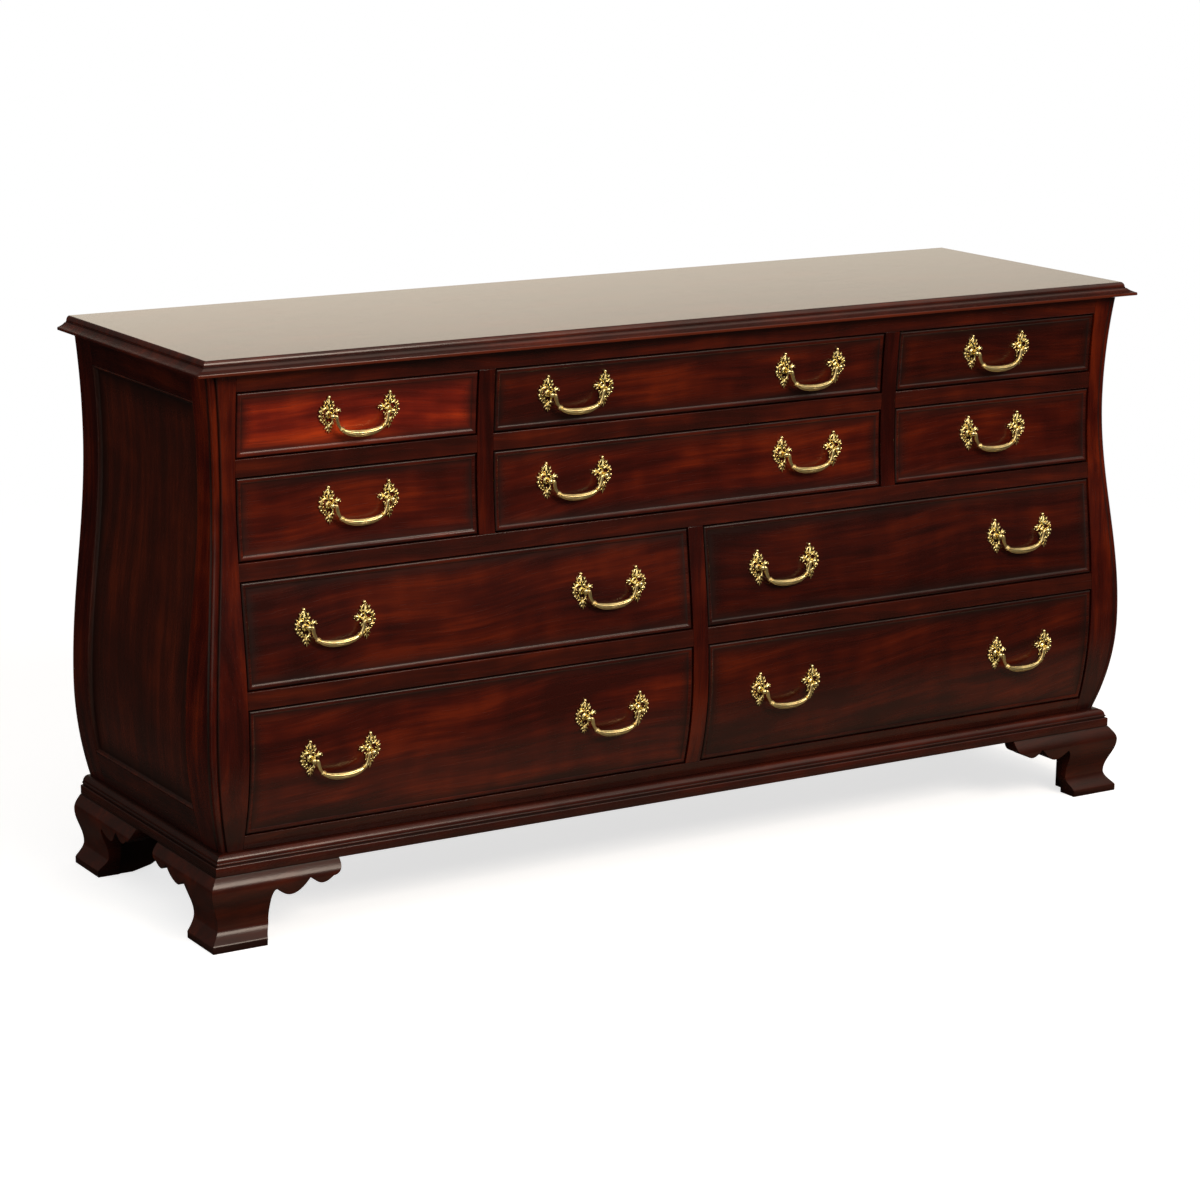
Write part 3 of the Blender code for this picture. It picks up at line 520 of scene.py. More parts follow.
# The side strips take about half the front's tone: painted shade for the sides away from the lamps.
shaded_base_side_finish = mahogany("base_side_shaded_mahogany", "y", tone=0.55, start=5.3, toner=0.45)
for side in ("left", "right"):
    strip = run([
        [(-corner_x(inset), NOSE_Y + inset + mitre_gap, z) for inset, z in moulding],
        [(-corner_x(inset), CASE_BACK, z) for inset, z in moulding],
    ])
    name = f"base_moulding_{side}"
    fitted(f"{name}_strip", glaze(handed(strip, side), base_shade), shaded_base_side_finish, "case", [name])


def lining(name, grain, tone, start):
    """Sanded secondary wood: pale tan, with fine growth lines and no lacquer."""
    made, shader, values = opened(name, Specular_IOR_Level=0.3)
    across = [1.0, 1.0, 1.0]
    across["xyz".index(grain)] = 0.05
    plank = values.place().mapped(Location=(start, start, start), Scale=tuple(across))
    lines = plank.noise(260.0, 3.0, 0.6)
    figure = plank.noise(34.0, 2.0) * 0.6 + lines * 0.4 + (tone - 0.5) * 0.4
    stops = [(0.30, (0.200, 0.110, 0.050)), (0.52, (0.400, 0.255, 0.130)), (0.75, (0.540, 0.380, 0.215))]
    feed(shader, Base_Color=figure.ramp(stops), Roughness=lines * 0.2 + 0.48,
         Normal=lines.relief(0.2, 0.0003))
    return made


def lined(node, finish):
    """Give a piece of the CAD that keeps its shape its own finish."""
    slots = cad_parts[node].data.materials
    slots.clear()
    slots.append(finish)


lined("base_rear_rail", lining("rail_lining", "x", 0.42, 2.0))


# Corner posts. Solid mahogany, sawn to the swell of the front and of the side at once,
# with a bead between two quirks worked down the corner before the post is glued in.
post_low, post_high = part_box("corner_post_left")
CASE_LOW = post_low.z
CASE_TOP = post_high.z
OPEN_HALF = -post_high.x
POST_BACK = post_high.y
FRONT_SWELL = (0.0256, -0.0025, 0.0318, 0.0217)
SIDE_SWELL = (0.0329, 0.0083, 0.0358, 0.0252)
BULGE_RISE = 0.228 * (CASE_TOP - BASE_TOP)
WAIST_RISE = 0.762 * (CASE_TOP - BASE_TOP)
BEAD_RADIUS = 0.0055
BEAD_INSET = 0.0060
QUIRK = 0.0130              # corner to the far lip of a quirk
QUIRK_FLAT = 0.0025         # how much of the flat beside it takes glaze
CASE_SLICE = 0.006          # spacing of the cuts that follow the swell
STAYS = 0.0004              # what lies this near to an inner line isn't sawn


def swell(z, insets):
    """How far a face lies inside the nose line: base, bulge, waist and top in one curve."""
    base, bulge, waist, top = insets
    rise = z - BASE_TOP
    if rise < BULGE_RISE:
        return bulge + (base - bulge) * (1 - rise / BULGE_RISE) ** 2
    if rise < WAIST_RISE:
        part = (rise - BULGE_RISE) / (WAIST_RISE - BULGE_RISE)
        return bulge + (waist - bulge) * (1 - math.cos(math.pi * part)) / 2
    part = (rise - WAIST_RISE) / (CASE_TOP - BASE_TOP - WAIST_RISE)
    return waist + (top - waist) * part ** 2


def scribed(bm, place, normal):
    """Cut a line across a piece without parting it."""
    geometry = [*bm.verts, *bm.edges, *bm.faces]
    bmesh.ops.bisect_plane(bm, geom=geometry, plane_co=place, plane_no=normal, dist=0.000001)
    return bm


def sliced(bm, axis, step):
    """Cut lines across a straight piece so that it can follow a curve."""
    spot = "xyz".index(axis)
    places = [vert.co[spot] for vert in bm.verts]
    low, high = min(places), max(places)
    count = max(int((high - low) / step), 1)
    normal = Vector((0.0, 0.0, 0.0))
    normal[spot] = 1.0
    for cut in range(1, count):
        scribed(bm, normal * (low + (high - low) * cut / count), normal)
    return bm


def swelled(bm, back=None, inner=None):
    """Saw a straight piece to the swell: what stands in front of a line follows the
    front's curve, and what lies outside a line follows the side's."""
    for vert in bm.verts:
        if back is not None and vert.co.y < back - STAYS:
            vert.co.y += swell(vert.co.z, FRONT_SWELL)
        if inner is not None and abs(vert.co.x) > inner + STAYS:
            vert.co.x -= math.copysign(swell(vert.co.z, SIDE_SWELL), vert.co.x)
    return bm


def post_section():
    """Plan of a post before it is sawn to the swell, with the nose line at its faces."""
    x = -HALF_TOP
    y = NOSE_Y
    return [
        (-OPEN_HALF, y), (-OPEN_HALF, POST_BACK), (x, POST_BACK), (x, y + QUIRK + QUIRK_FLAT),
        (x, y + QUIRK), (x + 0.0009, y + QUIRK - 0.0007), (x + 0.0028, y + QUIRK - 0.0016),
        *arc((x + BEAD_INSET, y + BEAD_INSET), (BEAD_RADIUS, BEAD_RADIUS), 145.0, 305.0, 16),
        (x + QUIRK - 0.0016, y + 0.0028), (x + QUIRK - 0.0007, y + 0.0009), (x + QUIRK, y),
        (x + QUIRK + QUIRK_FLAT, y),
    ]


def post_shade(point):
    """Painted shade fills both quirks and fades out over the flat of the post, and painted shade darkens the
    post towards its foot.
    """
    along_x = abs(point.x + HALF_TOP - QUIRK + 0.0016)
    along_y = abs(point.y - NOSE_Y - QUIRK + 0.0016)
    front = 1.25 - along_x / 0.0024 if point.y < NOSE_Y + 0.006 else 0.0
    side = 1.25 - along_y / 0.0024 if point.x < -HALF_TOP + 0.006 else 0.0
    return max(front, side, 0.55 * (1.0 - (point.z - CASE_LOW) / 0.20), 0.0)


for side in ("left", "right"):
    post = sliced(board(post_section(), "z", CASE_LOW, CASE_TOP), "z", CASE_SLICE)
    swelled(glaze(post, post_shade), back=POST_BACK, inner=OPEN_HALF)
    name = f"corner_post_{side}"
    finish = mahogany(f"{name}_mahogany", "z", tone=1.16, start=2.3, toner=0.08)
    fitted(f"{name}_stile", handed(post, side), finish, "case", [name], crease=40.0)


# Side frames. Each side has a rear stile and two rails, glued and sawn to the swell, with
# a panel set into them. The panel carries a small bead at its edge and a sloping border.
STILE_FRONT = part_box("side_panel_left")[1].y + JOINT
PANEL_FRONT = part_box("side_panel_left")[0].y
panel_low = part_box("side_panel_left")[0].z
panel_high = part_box("side_panel_left")[1].z
SIDE_THICK = 0.022
PANEL_THICK = 0.014
PANEL_FACE = 0.0012         # panel's edge inside the face of the frame
PANEL_FIELD = 0.0066        # field of the panel in the CAD, where its thickness starts
PANEL_BORDER = 0.0065       # edge of the panel to the bottom of its bead
EDGE_WEAR = 0.0005          # rounding of planed edges
PANEL_STEPS = ((0.0004, 0.0008), (0.0008, 0.0004), (0.0010, 0.0), (0.0009, -0.0006), (0.0008, -0.0014),
               (0.0010, -0.0022), (0.0013, -0.0015), (0.0030, -0.0006), (0.0120, 0.0), (0.0200, 0.0))


def slab(x, y, z):
    """A plain board between limits."""
    bm = bmesh.new()
    bmesh.ops.create_cube(bm, size=1.0)
    bmesh.ops.scale(bm, verts=bm.verts, vec=(x[1] - x[0], y[1] - y[0], z[1] - z[0]))
    middle = ((x[0] + x[1]) / 2, (y[0] + y[1]) / 2, (z[0] + z[1]) / 2)
    bmesh.ops.translate(bm, verts=bm.verts, vec=middle)
    return bm


def worked(bm, normal, steps):
    """Work a moulding round a board's face: each step goes in from the edge, and out or
    down from the surface."""
    bm.faces.ensure_lookup_table()
    field = max(bm.faces, key=lambda face: face.normal.dot(normal))
    for reach, lift in steps:
        bmesh.ops.inset_region(bm, faces=[field], thickness=reach, depth=lift, use_even_offset=True)


def edge_distance(point, low, high, spots):
    """Distance of a point from the nearest edge of a rectangle."""
    gaps = []
    for spot in spots:
        gaps += [point[spot] - low[spot], high[spot] - point[spot]]
    return min(gaps)


def side_panel():
    bm = slab((-HALF_TOP + PANEL_FACE, -HALF_TOP + PANEL_FIELD + PANEL_THICK),
              (PANEL_FRONT, STILE_FRONT - JOINT), (panel_low, panel_high))
    bm.normal_update()
    worked(bm, Vector((-1.0, 0.0, 0.0)), PANEL_STEPS)
    low = Vector((0.0, PANEL_FRONT, panel_low))
    high = Vector((0.0, STILE_FRONT, panel_high))

    # Painted shade in the hollow at the bottom of the panel's bead, fading over the border and into the
    # field.
    def rule(point):
        reach = edge_distance(point, low, high, (1, 2))
        fade = 0.0040 if reach < PANEL_BORDER else 0.0300
        return max(1.0 - abs(reach - PANEL_BORDER) / fade, 0.0)
    glaze(bm, rule)
    return swelled(sliced(bm, "z", CASE_SLICE), inner=OPEN_HALF)


def side_rail(low, high):
    bm = slab((-HALF_TOP, -HALF_TOP + SIDE_THICK), (PANEL_FRONT, STILE_FRONT - JOINT), (low, high))
    return swelled(sliced(glaze(bm, plain), "z", CASE_SLICE), inner=OPEN_HALF)


def rear_stile():
    bm = slab((-HALF_TOP, -OPEN_HALF), (STILE_FRONT, CASE_BACK), (CASE_LOW, CASE_TOP))
    return swelled(sliced(glaze(bm, plain), "z", CASE_SLICE), inner=OPEN_HALF)


# The stile and rails take lower tones than the front's pieces: painted shade for the side away from the
# lamps.
shaded_stile_finish = mahogany("stile_shaded_mahogany", "z", tone=0.80, start=7.9, flat_axis="x", toner=0.22)
shaded_side_rail_finish = mahogany("side_rail_shaded_mahogany", "y", tone=0.56, start=4.4, flat_axis="x", toner=0.30)
panel_finish = mahogany("panel_mahogany", "z", tone=1.12, start=6.2, flat_axis="x", toner=0.55)
for side in ("left", "right"):
    panel = f"side_panel_{side}"
    wood = f"side_frame_{side}"
    pieces = (
        (f"{wood}_stile", rear_stile(), shaded_stile_finish, "mahogany", wood),
        (f"{wood}_top_rail", side_rail(panel_high + JOINT, CASE_TOP), shaded_side_rail_finish, "mahogany", wood),
        (f"{wood}_bottom_rail", side_rail(CASE_LOW, panel_low - JOINT), shaded_side_rail_finish, "mahogany", wood),
        (f"{panel}_board", side_panel(), panel_finish, "panel_mahogany", panel),
    )
    for name, shape, finish, slot, node in pieces:
        fitted(name, handed(shape, side), finish, "case", [node], round_off=EDGE_WEAR)


# Rails and boards. Under each row of drawers a mahogany rail shows at the front, with a
# dust board of secondary wood behind it; the drawers run on the board between guides.
RAIL_DEPTH = 0.060
LAP_DEPTH = 0.020
DIVIDER_THICK = 0.028
BOARD_THICK = 0.016
DRAWER_GAP = 0.0015
GUIDE_WIDE = 0.008
GUIDE_SEAT = 0.010          # how deep a guide stands in its board
GUIDE_HIGH = 0.012
GUIDE_WEAR = 0.0006         # rounding of edges that drawers rub
RAIL_SLICE = 0.004          # spacing of the cuts that follow the swell


def row_limits(row):
    """Bottom and top of a row's opening, taken from its drawer front and its gap."""
    low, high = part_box(f"drawer_front_{row}_left")
    return low.z - DRAWER_GAP, high.z + DRAWER_GAP


ROWS = {row: row_limits(row) for row in ("row1", "row2", "row3", "row4")}
DIVIDER_X = (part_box("divider_upper_right")[0].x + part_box("divider_upper_right")[1].x) / 2


def face_y(z):
    """The front of the case, at a height."""
    return NOSE_Y + swell(z, FRONT_SWELL)


def rail_shape(low, high, back, laps):
    bm = slab((-OPEN_HALF + JOINT, OPEN_HALF - JOINT), (NOSE_Y, back), (low, high))
    cuts = []
    for x in laps:
        half = DIVIDER_THICK / 2 + JOINT / 2
        depth = swell((low + high) / 2, FRONT_SWELL) + LAP_DEPTH
        cuts.append(("DIFFERENCE", slab((x - half, x + half), (NOSE_Y - CUT_OVER, NOSE_Y + depth),
                                        (low - CUT_OVER, high + CUT_OVER))))
    return swelled(glaze(sliced(joined(bm, cuts), "z", RAIL_SLICE), plain), back=back)


rails = {
    "sub_top": (ROWS["row1"][1], CASE_TOP, ()),
    "drawer_rail_upper": (ROWS["row2"][1], ROWS["row1"][0], (-DIVIDER_X, DIVIDER_X)),
    "drawer_rail_middle": (ROWS["row3"][1], ROWS["row2"][0], ()),
    "drawer_rail_lower": (ROWS["row4"][1], ROWS["row3"][0], (0.0,)),
    "bottom_board": (CASE_LOW, ROWS["row4"][0], ()),
}
board_finish = lining("board_lining", "x", 0.40, 8.0)
# Each rail lower down is toned darker and browner: painted shade that deepens towards the bottom of the
# case.
for spot, (name, (low, high, laps)) in enumerate(rails.items()):
    finish = mahogany(f"{name}_mahogany", "x", tone=1.18 - 0.07 * spot, start=9.0 + 1.7 * spot,
                      flat_axis="y", toner=0.26 + 0.04 * spot)
    back = face_y((low + high) / 2) + RAIL_DEPTH
    fitted(f"{name}_edge", rail_shape(low, high, back, laps), finish, "case", [name],
           round_off=EDGE_WEAR)
    board_top = CASE_TOP if name == "sub_top" else high
    plank = slab((-OPEN_HALF + JOINT, OPEN_HALF - JOINT), (back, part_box(name)[1].y),
                 (board_top - BOARD_THICK, board_top))
    fitted(f"{name}_plank", plank, board_finish, "case", [name])
    if name == "sub_top":
        continue
    for side in (-1.0, 1.0):
        edges = sorted((side * (OPEN_HALF + JOINT), side * (OPEN_HALF + JOINT + GUIDE_WIDE)))
        strip = slab(edges, (POST_BACK + JOINT, STILE_FRONT - JOINT),
                     (high - GUIDE_SEAT, high + GUIDE_HIGH))
        fitted(f"{name}_guide_{'left' if side < 0 else 'right'}", strip, board_finish, "case",
               [name], round_off=GUIDE_WEAR)


# Dividers. Two part the upper rows and one parts the lower rows. They run through, with
# their grain upright, and lap over the rail that crosses them.
FRONT_SLICE = 0.005         # spacing of the cuts, here and on the drawer fronts


def divider_shape(x, lower, upper):
    lap_low = ROWS[lower][1]
    lap_high = ROWS[upper][0]
    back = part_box("divider_lower")[1].y
    lap_back = face_y((lap_low + lap_high) / 2) + LAP_DEPTH
    half = DIVIDER_THICK / 2
    bm = slab((x - half, x + half), (NOSE_Y, back), (ROWS[lower][0] + JOINT, ROWS[upper][1] - JOINT))
    slot = slab((x - half - CUT_OVER, x + half + CUT_OVER), (lap_back, back + CUT_OVER), (lap_low, lap_high))
    bm = joined(bm, [("DIFFERENCE", slot)])
    return swelled(glaze(sliced(bm, "z", FRONT_SLICE), plain), back=lap_back)


for spot, (name, x, lower, upper) in enumerate((
        ("divider_upper_left", -DIVIDER_X, "row2", "row1"),
        ("divider_upper_right", DIVIDER_X, "row2", "row1"),
        ("divider_lower", 0.0, "row4", "row3"))):
    finish = mahogany(f"{name}_mahogany", "z", tone=0.9, start=3.3 + 2.1 * spot, flat_axis="y")
    fitted(f"{name}_board", divider_shape(x, lower, upper), finish, "case", [name],
           round_off=EDGE_WEAR)


# Back. A thin panel of secondary wood, let in behind the case. It is sanded and left
# without stain or lacquer, and its grain stands upright.
lined("back_panel", lining("back_lining", "z", 0.46, 5.0))


# Top. A wide board with a moulding worked on its front and side edges: a thin nose, a
# hollow, a fillet and a round. It shows more gloss than the case, and reflects the room.
TOP_NOSE = 0.0052
COVE_REACH = 0.0120
COVE_RISE = 0.0066
COVE_HOLLOW = 0.34
COVE_FILLET = 0.0018
NOSE_LIP = 0.0012           # how far the hollow starts behind the nose
ROUND_REACH = 0.0060
TOP_THICK = back_corner.z - nose_corner.z
CORNER_DEEP = 0.012         # a cut just round the corner keeps the front's paler, painted-light nose off the side


def top_profile():
    points = [(0.0014, 0.0), (0.0004, 0.0004), (0.0, 0.0014), (0.0, TOP_NOSE - 0.0014),
              (0.0004, TOP_NOSE - 0.0004), (NOSE_LIP, TOP_NOSE)]
    for step in range(1, 13):
        part = step / 12
        turn = math.pi / 2 * part
        reach = part + COVE_HOLLOW * (math.sin(turn) - part)
        rise = part + COVE_HOLLOW * (1 - math.cos(turn) - part)
        points.append((NOSE_LIP + (COVE_REACH - 0.0002) * reach, TOP_NOSE + COVE_RISE * rise))
    shelf = points[-1][0] + COVE_FILLET
    cove_high = points[-1][1]
    low = cove_high + COVE_FILLET
    points += [(shelf - 0.0004, cove_high + 0.0001), (shelf, cove_high + 0.0005), (shelf, low)]
    centre = (shelf + 0.0008 + ROUND_REACH, low + 0.0003)
    return points + arc(centre, (-ROUND_REACH, TOP_THICK - centre[1]), 0.0, 90.0, 12)


def top_shape():
    sections = []
    for inset, rise in top_profile():
        half = HALF_TOP - inset
        z = nose_corner.z + rise
        sections.append([(-half, NOSE_Y + inset, z), (half, NOSE_Y + inset, z),
                         (half, back_corner.y, z), (-half, back_corner.y, z)])
    return scribed(run(sections), (0.0, NOSE_Y + CORNER_DEEP, 0.0), (0.0, 1.0, 0.0))


def top_shade_and_light(point):
    """Painted shade in the quirk over the hollow, and a nose along the front painted paler, as painted light
    on its face.
    """
    shelf = nose_corner.z + TOP_NOSE + COVE_RISE
    quirk = 1.0 - abs(point.z - shelf - COVE_FILLET * 0.6) / 0.0022
    nose = (point.z - nose_corner.z - TOP_NOSE) / 0.0010
    if nose > 0.0 or point.y > NOSE_Y + 0.010:
        return max(quirk * 0.8, 0.0)
    return max(nose, -0.55)


top_finish = mahogany("top_mahogany", "x", tone=1.0, start=12.5, toner=0.35, Coat_Roughness=0.10)
height = Shade(top_finish.node_tree).place().axis("Z")
rubbed_out = height.between(back_corner.z - 0.0012, back_corner.z - 0.0002) * 0.85 + 0.15
feed(top_finish.node_tree.nodes["Principled BSDF"], Coat_Weight=rubbed_out)
fitted("top_board_slab", glaze(top_shape(), top_shade_and_light), top_finish, "case", ["top_board"],
       crease=40.0)


# Drawer fronts. Solid mahogany sawn to the swell, the grain running across, with a bead
# round the edge. Each was cut from its own stretch of board, so no two match in figure.
FRONT_RECESS = 0.0005
FRONT_EASE = 0.0005         # each edge lies this far inside the one in the CAD
CREST_IN = 0.0002           # the bead's top lies this far inside the recess, as in the CAD
BEAD_OUT = ((0.0003, 0.0010), (0.0005, 0.0007), (0.0007, 0.0006), (0.0009, 0.0004), (0.0010, 0.0001),
            (0.0008, 0.0))
BEAD_IN = ((0.0007, -0.0001), (0.0008, -0.0003), (0.0009, -0.0005), (0.0009, -0.0005), (0.0009, -0.0004),
           (0.0010, -0.0002), (0.0025, 0.0), (0.0035, 0.0), (0.0045, 0.0), (0.0055, 0.0), (0.0065, 0.0))
# Toner, least painted shade on the bead, most darker toning beside it, and how far that toning spreads.
PALE_AND_LIT_LOOK = (0.05, 0.74, 0.90, 0.0190)
DARK_LOOK = (0.14, 0.30, 0.78, 0.0110)
# Tone, place on the board, and slope of the grain. The tones are partly each board's own
# # and partly painted light: row1_left's far higher tone paints the extra light that falls on it.
DRAWERS = {
    "row1_left": (4.35, 0.55, -0.02), "row1_centre": (1.26, 1.9, 0.03), "row1_right": (0.90, 3.7, 0.03),
    "row2_left": (1.62, 5.1, 0.02), "row2_centre": (1.45, 7.3, 0.05), "row2_right": (1.30, 9.4, 0.06),
    "row3_left": (1.06, 11.8, 0.04), "row3_right": (0.82, 13.1, 0.03),
    "row4_left": (1.40, 15.6, 0.05), "row4_right": (0.97, 17.2, 0.11),
}


def drawer_front(name, least, most, spread):
    low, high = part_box(f"drawer_front_{name}")
    low += Vector((FRONT_EASE, 0.0, FRONT_EASE))
    high -= Vector((FRONT_EASE, 0.0, FRONT_EASE))
    crest = NOSE_Y + FRONT_RECESS + CREST_IN
    edge = crest + sum(lift for _, lift in BEAD_OUT)
    bm = slab((low.x, high.x), (edge, high.y), (low.z, high.z))
    bm.normal_update()
    worked(bm, Vector((0.0, -1.0, 0.0)), BEAD_OUT + BEAD_IN)
    slope = sum(reach for reach, _ in BEAD_OUT + BEAD_IN[:5])

    # The rule paints the rail's shadow on the bead's outer flank and painted shade in the hollow beside the
    # bead, with darker toning that fades in from the ends and sides.
    def rule(point):
        ends = edge_distance(point, low, high, (0,))
        sides = edge_distance(point, low, high, (2,))
        reach = min(ends, sides)
        if reach < slope:
            outer = 1.0 - 0.5 * (reach / 0.0030) ** 2
            return max(outer, least, 0.95 - (slope - reach) / 0.0026)
        fade = max(1.0 - (ends - slope) / 0.0260, 0.0) ** 1.8
        return most * max(fade, max(1.0 - (sides - slope) / spread, 0.0) ** 1.5)
    glaze(bm, rule)
    return swelled(sliced(bm, "z", FRONT_SLICE), back=high.y)


for name, (tone, start, lean) in DRAWERS.items():
    toner, *edge = PALE_AND_LIT_LOOK if name == "row1_left" else DARK_LOOK
    finish = mahogany(f"drawer_{name}_mahogany", "x", tone=tone, start=start, flat_axis="y", toner=toner,
                      lean=lean)
    fitted(f"drawer_front_{name}_board", drawer_front(name, *edge), finish, f"drawer_{name}",
           [f"drawer_front_{name}"])
    lined(f"drawer_box_{name}", lining(f"drawer_{name}_lining", "y", 0.5, start))


# Rosettes. Sand-cast brass, pierced and chased: scrolls and leaves round a boss, with a
# turned post that is screwed through the drawer front. The high places are polished and
# the hollows keep their brown patina.
PULL_BORE = 0.102
PIVOT_PROUD = 0.0135
MM = 0.001
PATINA = (0.075, 0.043, 0.016)
PULL_LIFT = {"row4": 0.0115, "row3": 0.0035, "row2": 0.0085, "row1": 0.0040}
FIELD_DEEP = FRONT_RECESS + 0.0022      # flat field of a front behind the nose line
PLATE_DEEP = 0.006          # the casting bends with the drawer up to here, and the post stays straight
CAST_SEAT = 1.2             # how deep, in mm, a casting is let into the drawer front

# Each run of casting: places as outward, up, proud, half width and half height, in mm.
SCROLLS = (
    ((0.5, 8.6, 1.8, 1.2, 1.5), (5.5, 10.6, 2.0, 1.6, 1.9), (10.6, 8.4, 2.0, 1.8, 2.0),
     (13.2, 3.2, 1.9, 1.8, 2.0), (13.0, -3.0, 1.9, 1.8, 2.0), (10.0, -7.6, 2.2, 1.6, 1.9),
     (6.4, -7.6, 2.8, 1.3, 1.6), (6.6, -4.8, 3.2, 1.0, 1.2)),
    ((-1.6, 9.0, 1.6, 1.1, 1.5), (-5.6, 9.0, 1.8, 1.5, 1.8), (-8.0, 5.4, 2.0, 1.6, 1.9),
     (-7.2, 1.6, 2.2, 1.3, 1.7), (-5.0, 0.4, 2.4, 1.0, 1.4)),
    ((-3.6, -4.0, 2.0, 1.1, 1.6), (-6.6, -8.2, 2.0, 1.5, 1.8), (-4.8, -13.2, 1.9, 1.6, 1.8),
     (0.2, -15.2, 1.9, 1.6, 1.8), (4.9, -12.8, 2.0, 1.4, 1.7), (4.8, -9.8, 2.6, 1.0, 1.3)),
    ((5.0, 9.4, 1.6, 1.1, 1.5), (7.0, 14.0, 1.8, 1.5, 1.8), (5.8, 19.0, 1.9, 1.5, 1.8),
     (2.6, 23.2, 2.0, 1.3, 1.6), (0.6, 24.6, 2.2, 0.9, 1.3)),
    ((-4.2, 8.8, 1.6, 1.0, 1.5), (-5.8, 13.2, 1.8, 1.4, 1.8), (-4.6, 18.6, 1.9, 1.4, 1.8),
     (-1.6, 23.0, 2.0, 1.0, 1.4)),
)
LEAVES = (
    ((0.2, 5.4, 2.2, 1.2, 1.6), (0.2, 10.5, 3.0, 2.6, 2.0), (0.8, 16.0, 3.2, 2.7, 1.8),
     (0.7, 21.0, 2.6, 1.5, 1.4), (0.4, 24.4, 2.2, 0.5, 0.8)),
    ((6.4, 12.0, 2.2, 0.9, 1.2), (8.6, 13.4, 2.9, 1.7, 1.4), (10.6, 15.6, 2.2, 0.5, 0.7)),
    ((5.8, 17.6, 2.2, 0.9, 1.2), (7.6, 19.4, 2.8, 1.5, 1.3), (8.6, 22.0, 2.0, 0.4, 0.6)),
    ((-5.4, 12.6, 2.2, 0.9, 1.2), (-7.6, 13.8, 2.8, 1.6, 1.3), (-9.4, 16.2, 2.0, 0.4, 0.6)),
    ((-4.4, 17.6, 2.2, 0.8, 1.1), (-6.2, 19.4, 2.7, 1.4, 1.2), (-7.0, 21.8, 2.0, 0.4, 0.6)),
    ((-6.4, 3.6, 2.6, 1.0, 1.4), (-10.2, 4.6, 3.6, 1.4, 1.5), (-14.4, 5.6, 4.2, 2.4, 1.4),
     (-17.4, 6.6, 3.8, 1.9, 1.1), (-19.6, 7.4, 3.0, 0.5, 0.6)),
    ((-10.4, 5.2, 3.0, 0.9, 1.1), (-12.2, 8.0, 3.4, 1.6, 1.2), (-13.6, 10.8, 2.6, 0.4, 0.6)),
    ((-10.8, 3.8, 3.0, 0.9, 1.1), (-13.0, 1.4, 3.2, 1.5, 1.2), (-15.4, -0.6, 2.4, 0.4, 0.6)),
    ((0.0, -14.4, 2.6, 1.3, 1.6), (0.4, -18.8, 3.2, 2.3, 1.8), (0.2, -24.0, 2.8, 1.8, 1.5),
     (-0.4, -29.6, 1.8, 0.4, 0.6)),
    ((-1.4, -16.6, 2.2, 0.9, 1.2), (-4.0, -19.0, 2.9, 1.7, 1.4), (-6.6, -22.2, 2.0, 0.4, 0.6)),
    ((1.8, -16.6, 2.2, 0.9, 1.2), (4.4, -18.6, 2.9, 1.7, 1.4), (7.0, -21.4, 2.0, 0.4, 0.6)),
    ((-1.0, -21.4, 2.0, 0.8, 1.1), (-2.8, -23.8, 2.5, 1.3, 1.2), (-4.4, -26.8, 1.8, 0.4, 0.6)),
    ((1.2, -21.4, 2.0, 0.8, 1.1), (2.8, -23.6, 2.5, 1.3, 1.2), (4.2, -26.2, 1.8, 0.4, 0.6)),
    ((11.0, 9.0, 2.2, 1.0, 1.3), (13.2, 10.8, 3.0, 1.9, 1.5), (14.6, 13.4, 2.2, 0.5, 0.7)),
)
BEADS = (
    (0.4, 26.8, 3.0, 2.9), (15.6, 6.0, 2.6, 2.1), (15.8, -1.6, 2.7, 2.3), (13.6, -7.6, 2.5, 2.1),
    (10.2, -11.2, 2.2, 1.7), (-6.8, -14.6, 2.3, 1.7), (7.2, -14.2, 2.2, 1.6), (9.8, 2.6, 2.2, 1.3),
    (9.6, -2.4, 2.2, 1.3), (-8.8, -4.6, 2.2, 1.5), (0.4, -11.4, 2.4, 1.4), (3.9, 13.6, 2.4, 1.2),
    (-2.8, 14.0, 2.4, 1.1), (3.0, 19.4, 2.2, 1.0), (-19.0, 3.4, 3.0, 1.2),
)
POST = ((-1.6, 6.6), (1.4, 6.6), (2.2, 6.0), (2.8, 4.9), (3.4, 3.5), (5.0, 3.0), (8.0, 2.9), (9.2, 3.1),
        (9.8, 4.0), (10.6, 4.3), (11.6, 4.0), (12.4, 4.1), (13.6, 4.4), (15.0, 4.3), (16.4, 3.7),
        (17.6, 2.6), (18.3, 1.3), (18.5, 0.3))


def flowing(places, steps):
    """Places along a smooth curve through the given ones."""
    result = []
    for spot in range(len(places) - 1):
        before = places[max(spot - 1, 0)]
        start, end = places[spot], places[spot + 1]
        after = places[min(spot + 2, len(places) - 1)]
        for step in range(steps):
            part = step / steps
            point = []
            for a, b, c, d in zip(before, start, end, after):
                point.append(b + 0.5 * part * (c - a + part * (2 * a - 5 * b + 4 * c - d
                                                               + part * (3 * (b - c) + d - a))))
            result.append(tuple(point))
    return result + [tuple(places[-1])]


def grown(bm, piece):
    """Add a piece to a casting."""
    mesh = meshed("cast", piece)
    bm.from_mesh(mesh)
    bpy.data.meshes.remove(mesh)


def heading(places, spot):
    """The way that a path takes past one of its places, outward and up."""
    ahead = places[min(spot + 1, len(places) - 1)]
    behind = places[max(spot - 1, 0)]
    return Vector((ahead[0] - behind[0], ahead[1] - behind[1])).normalized()


def turns(sides):
    """Even turns round a ring."""
    return [2 * math.pi * side / sides for side in range(sides)]


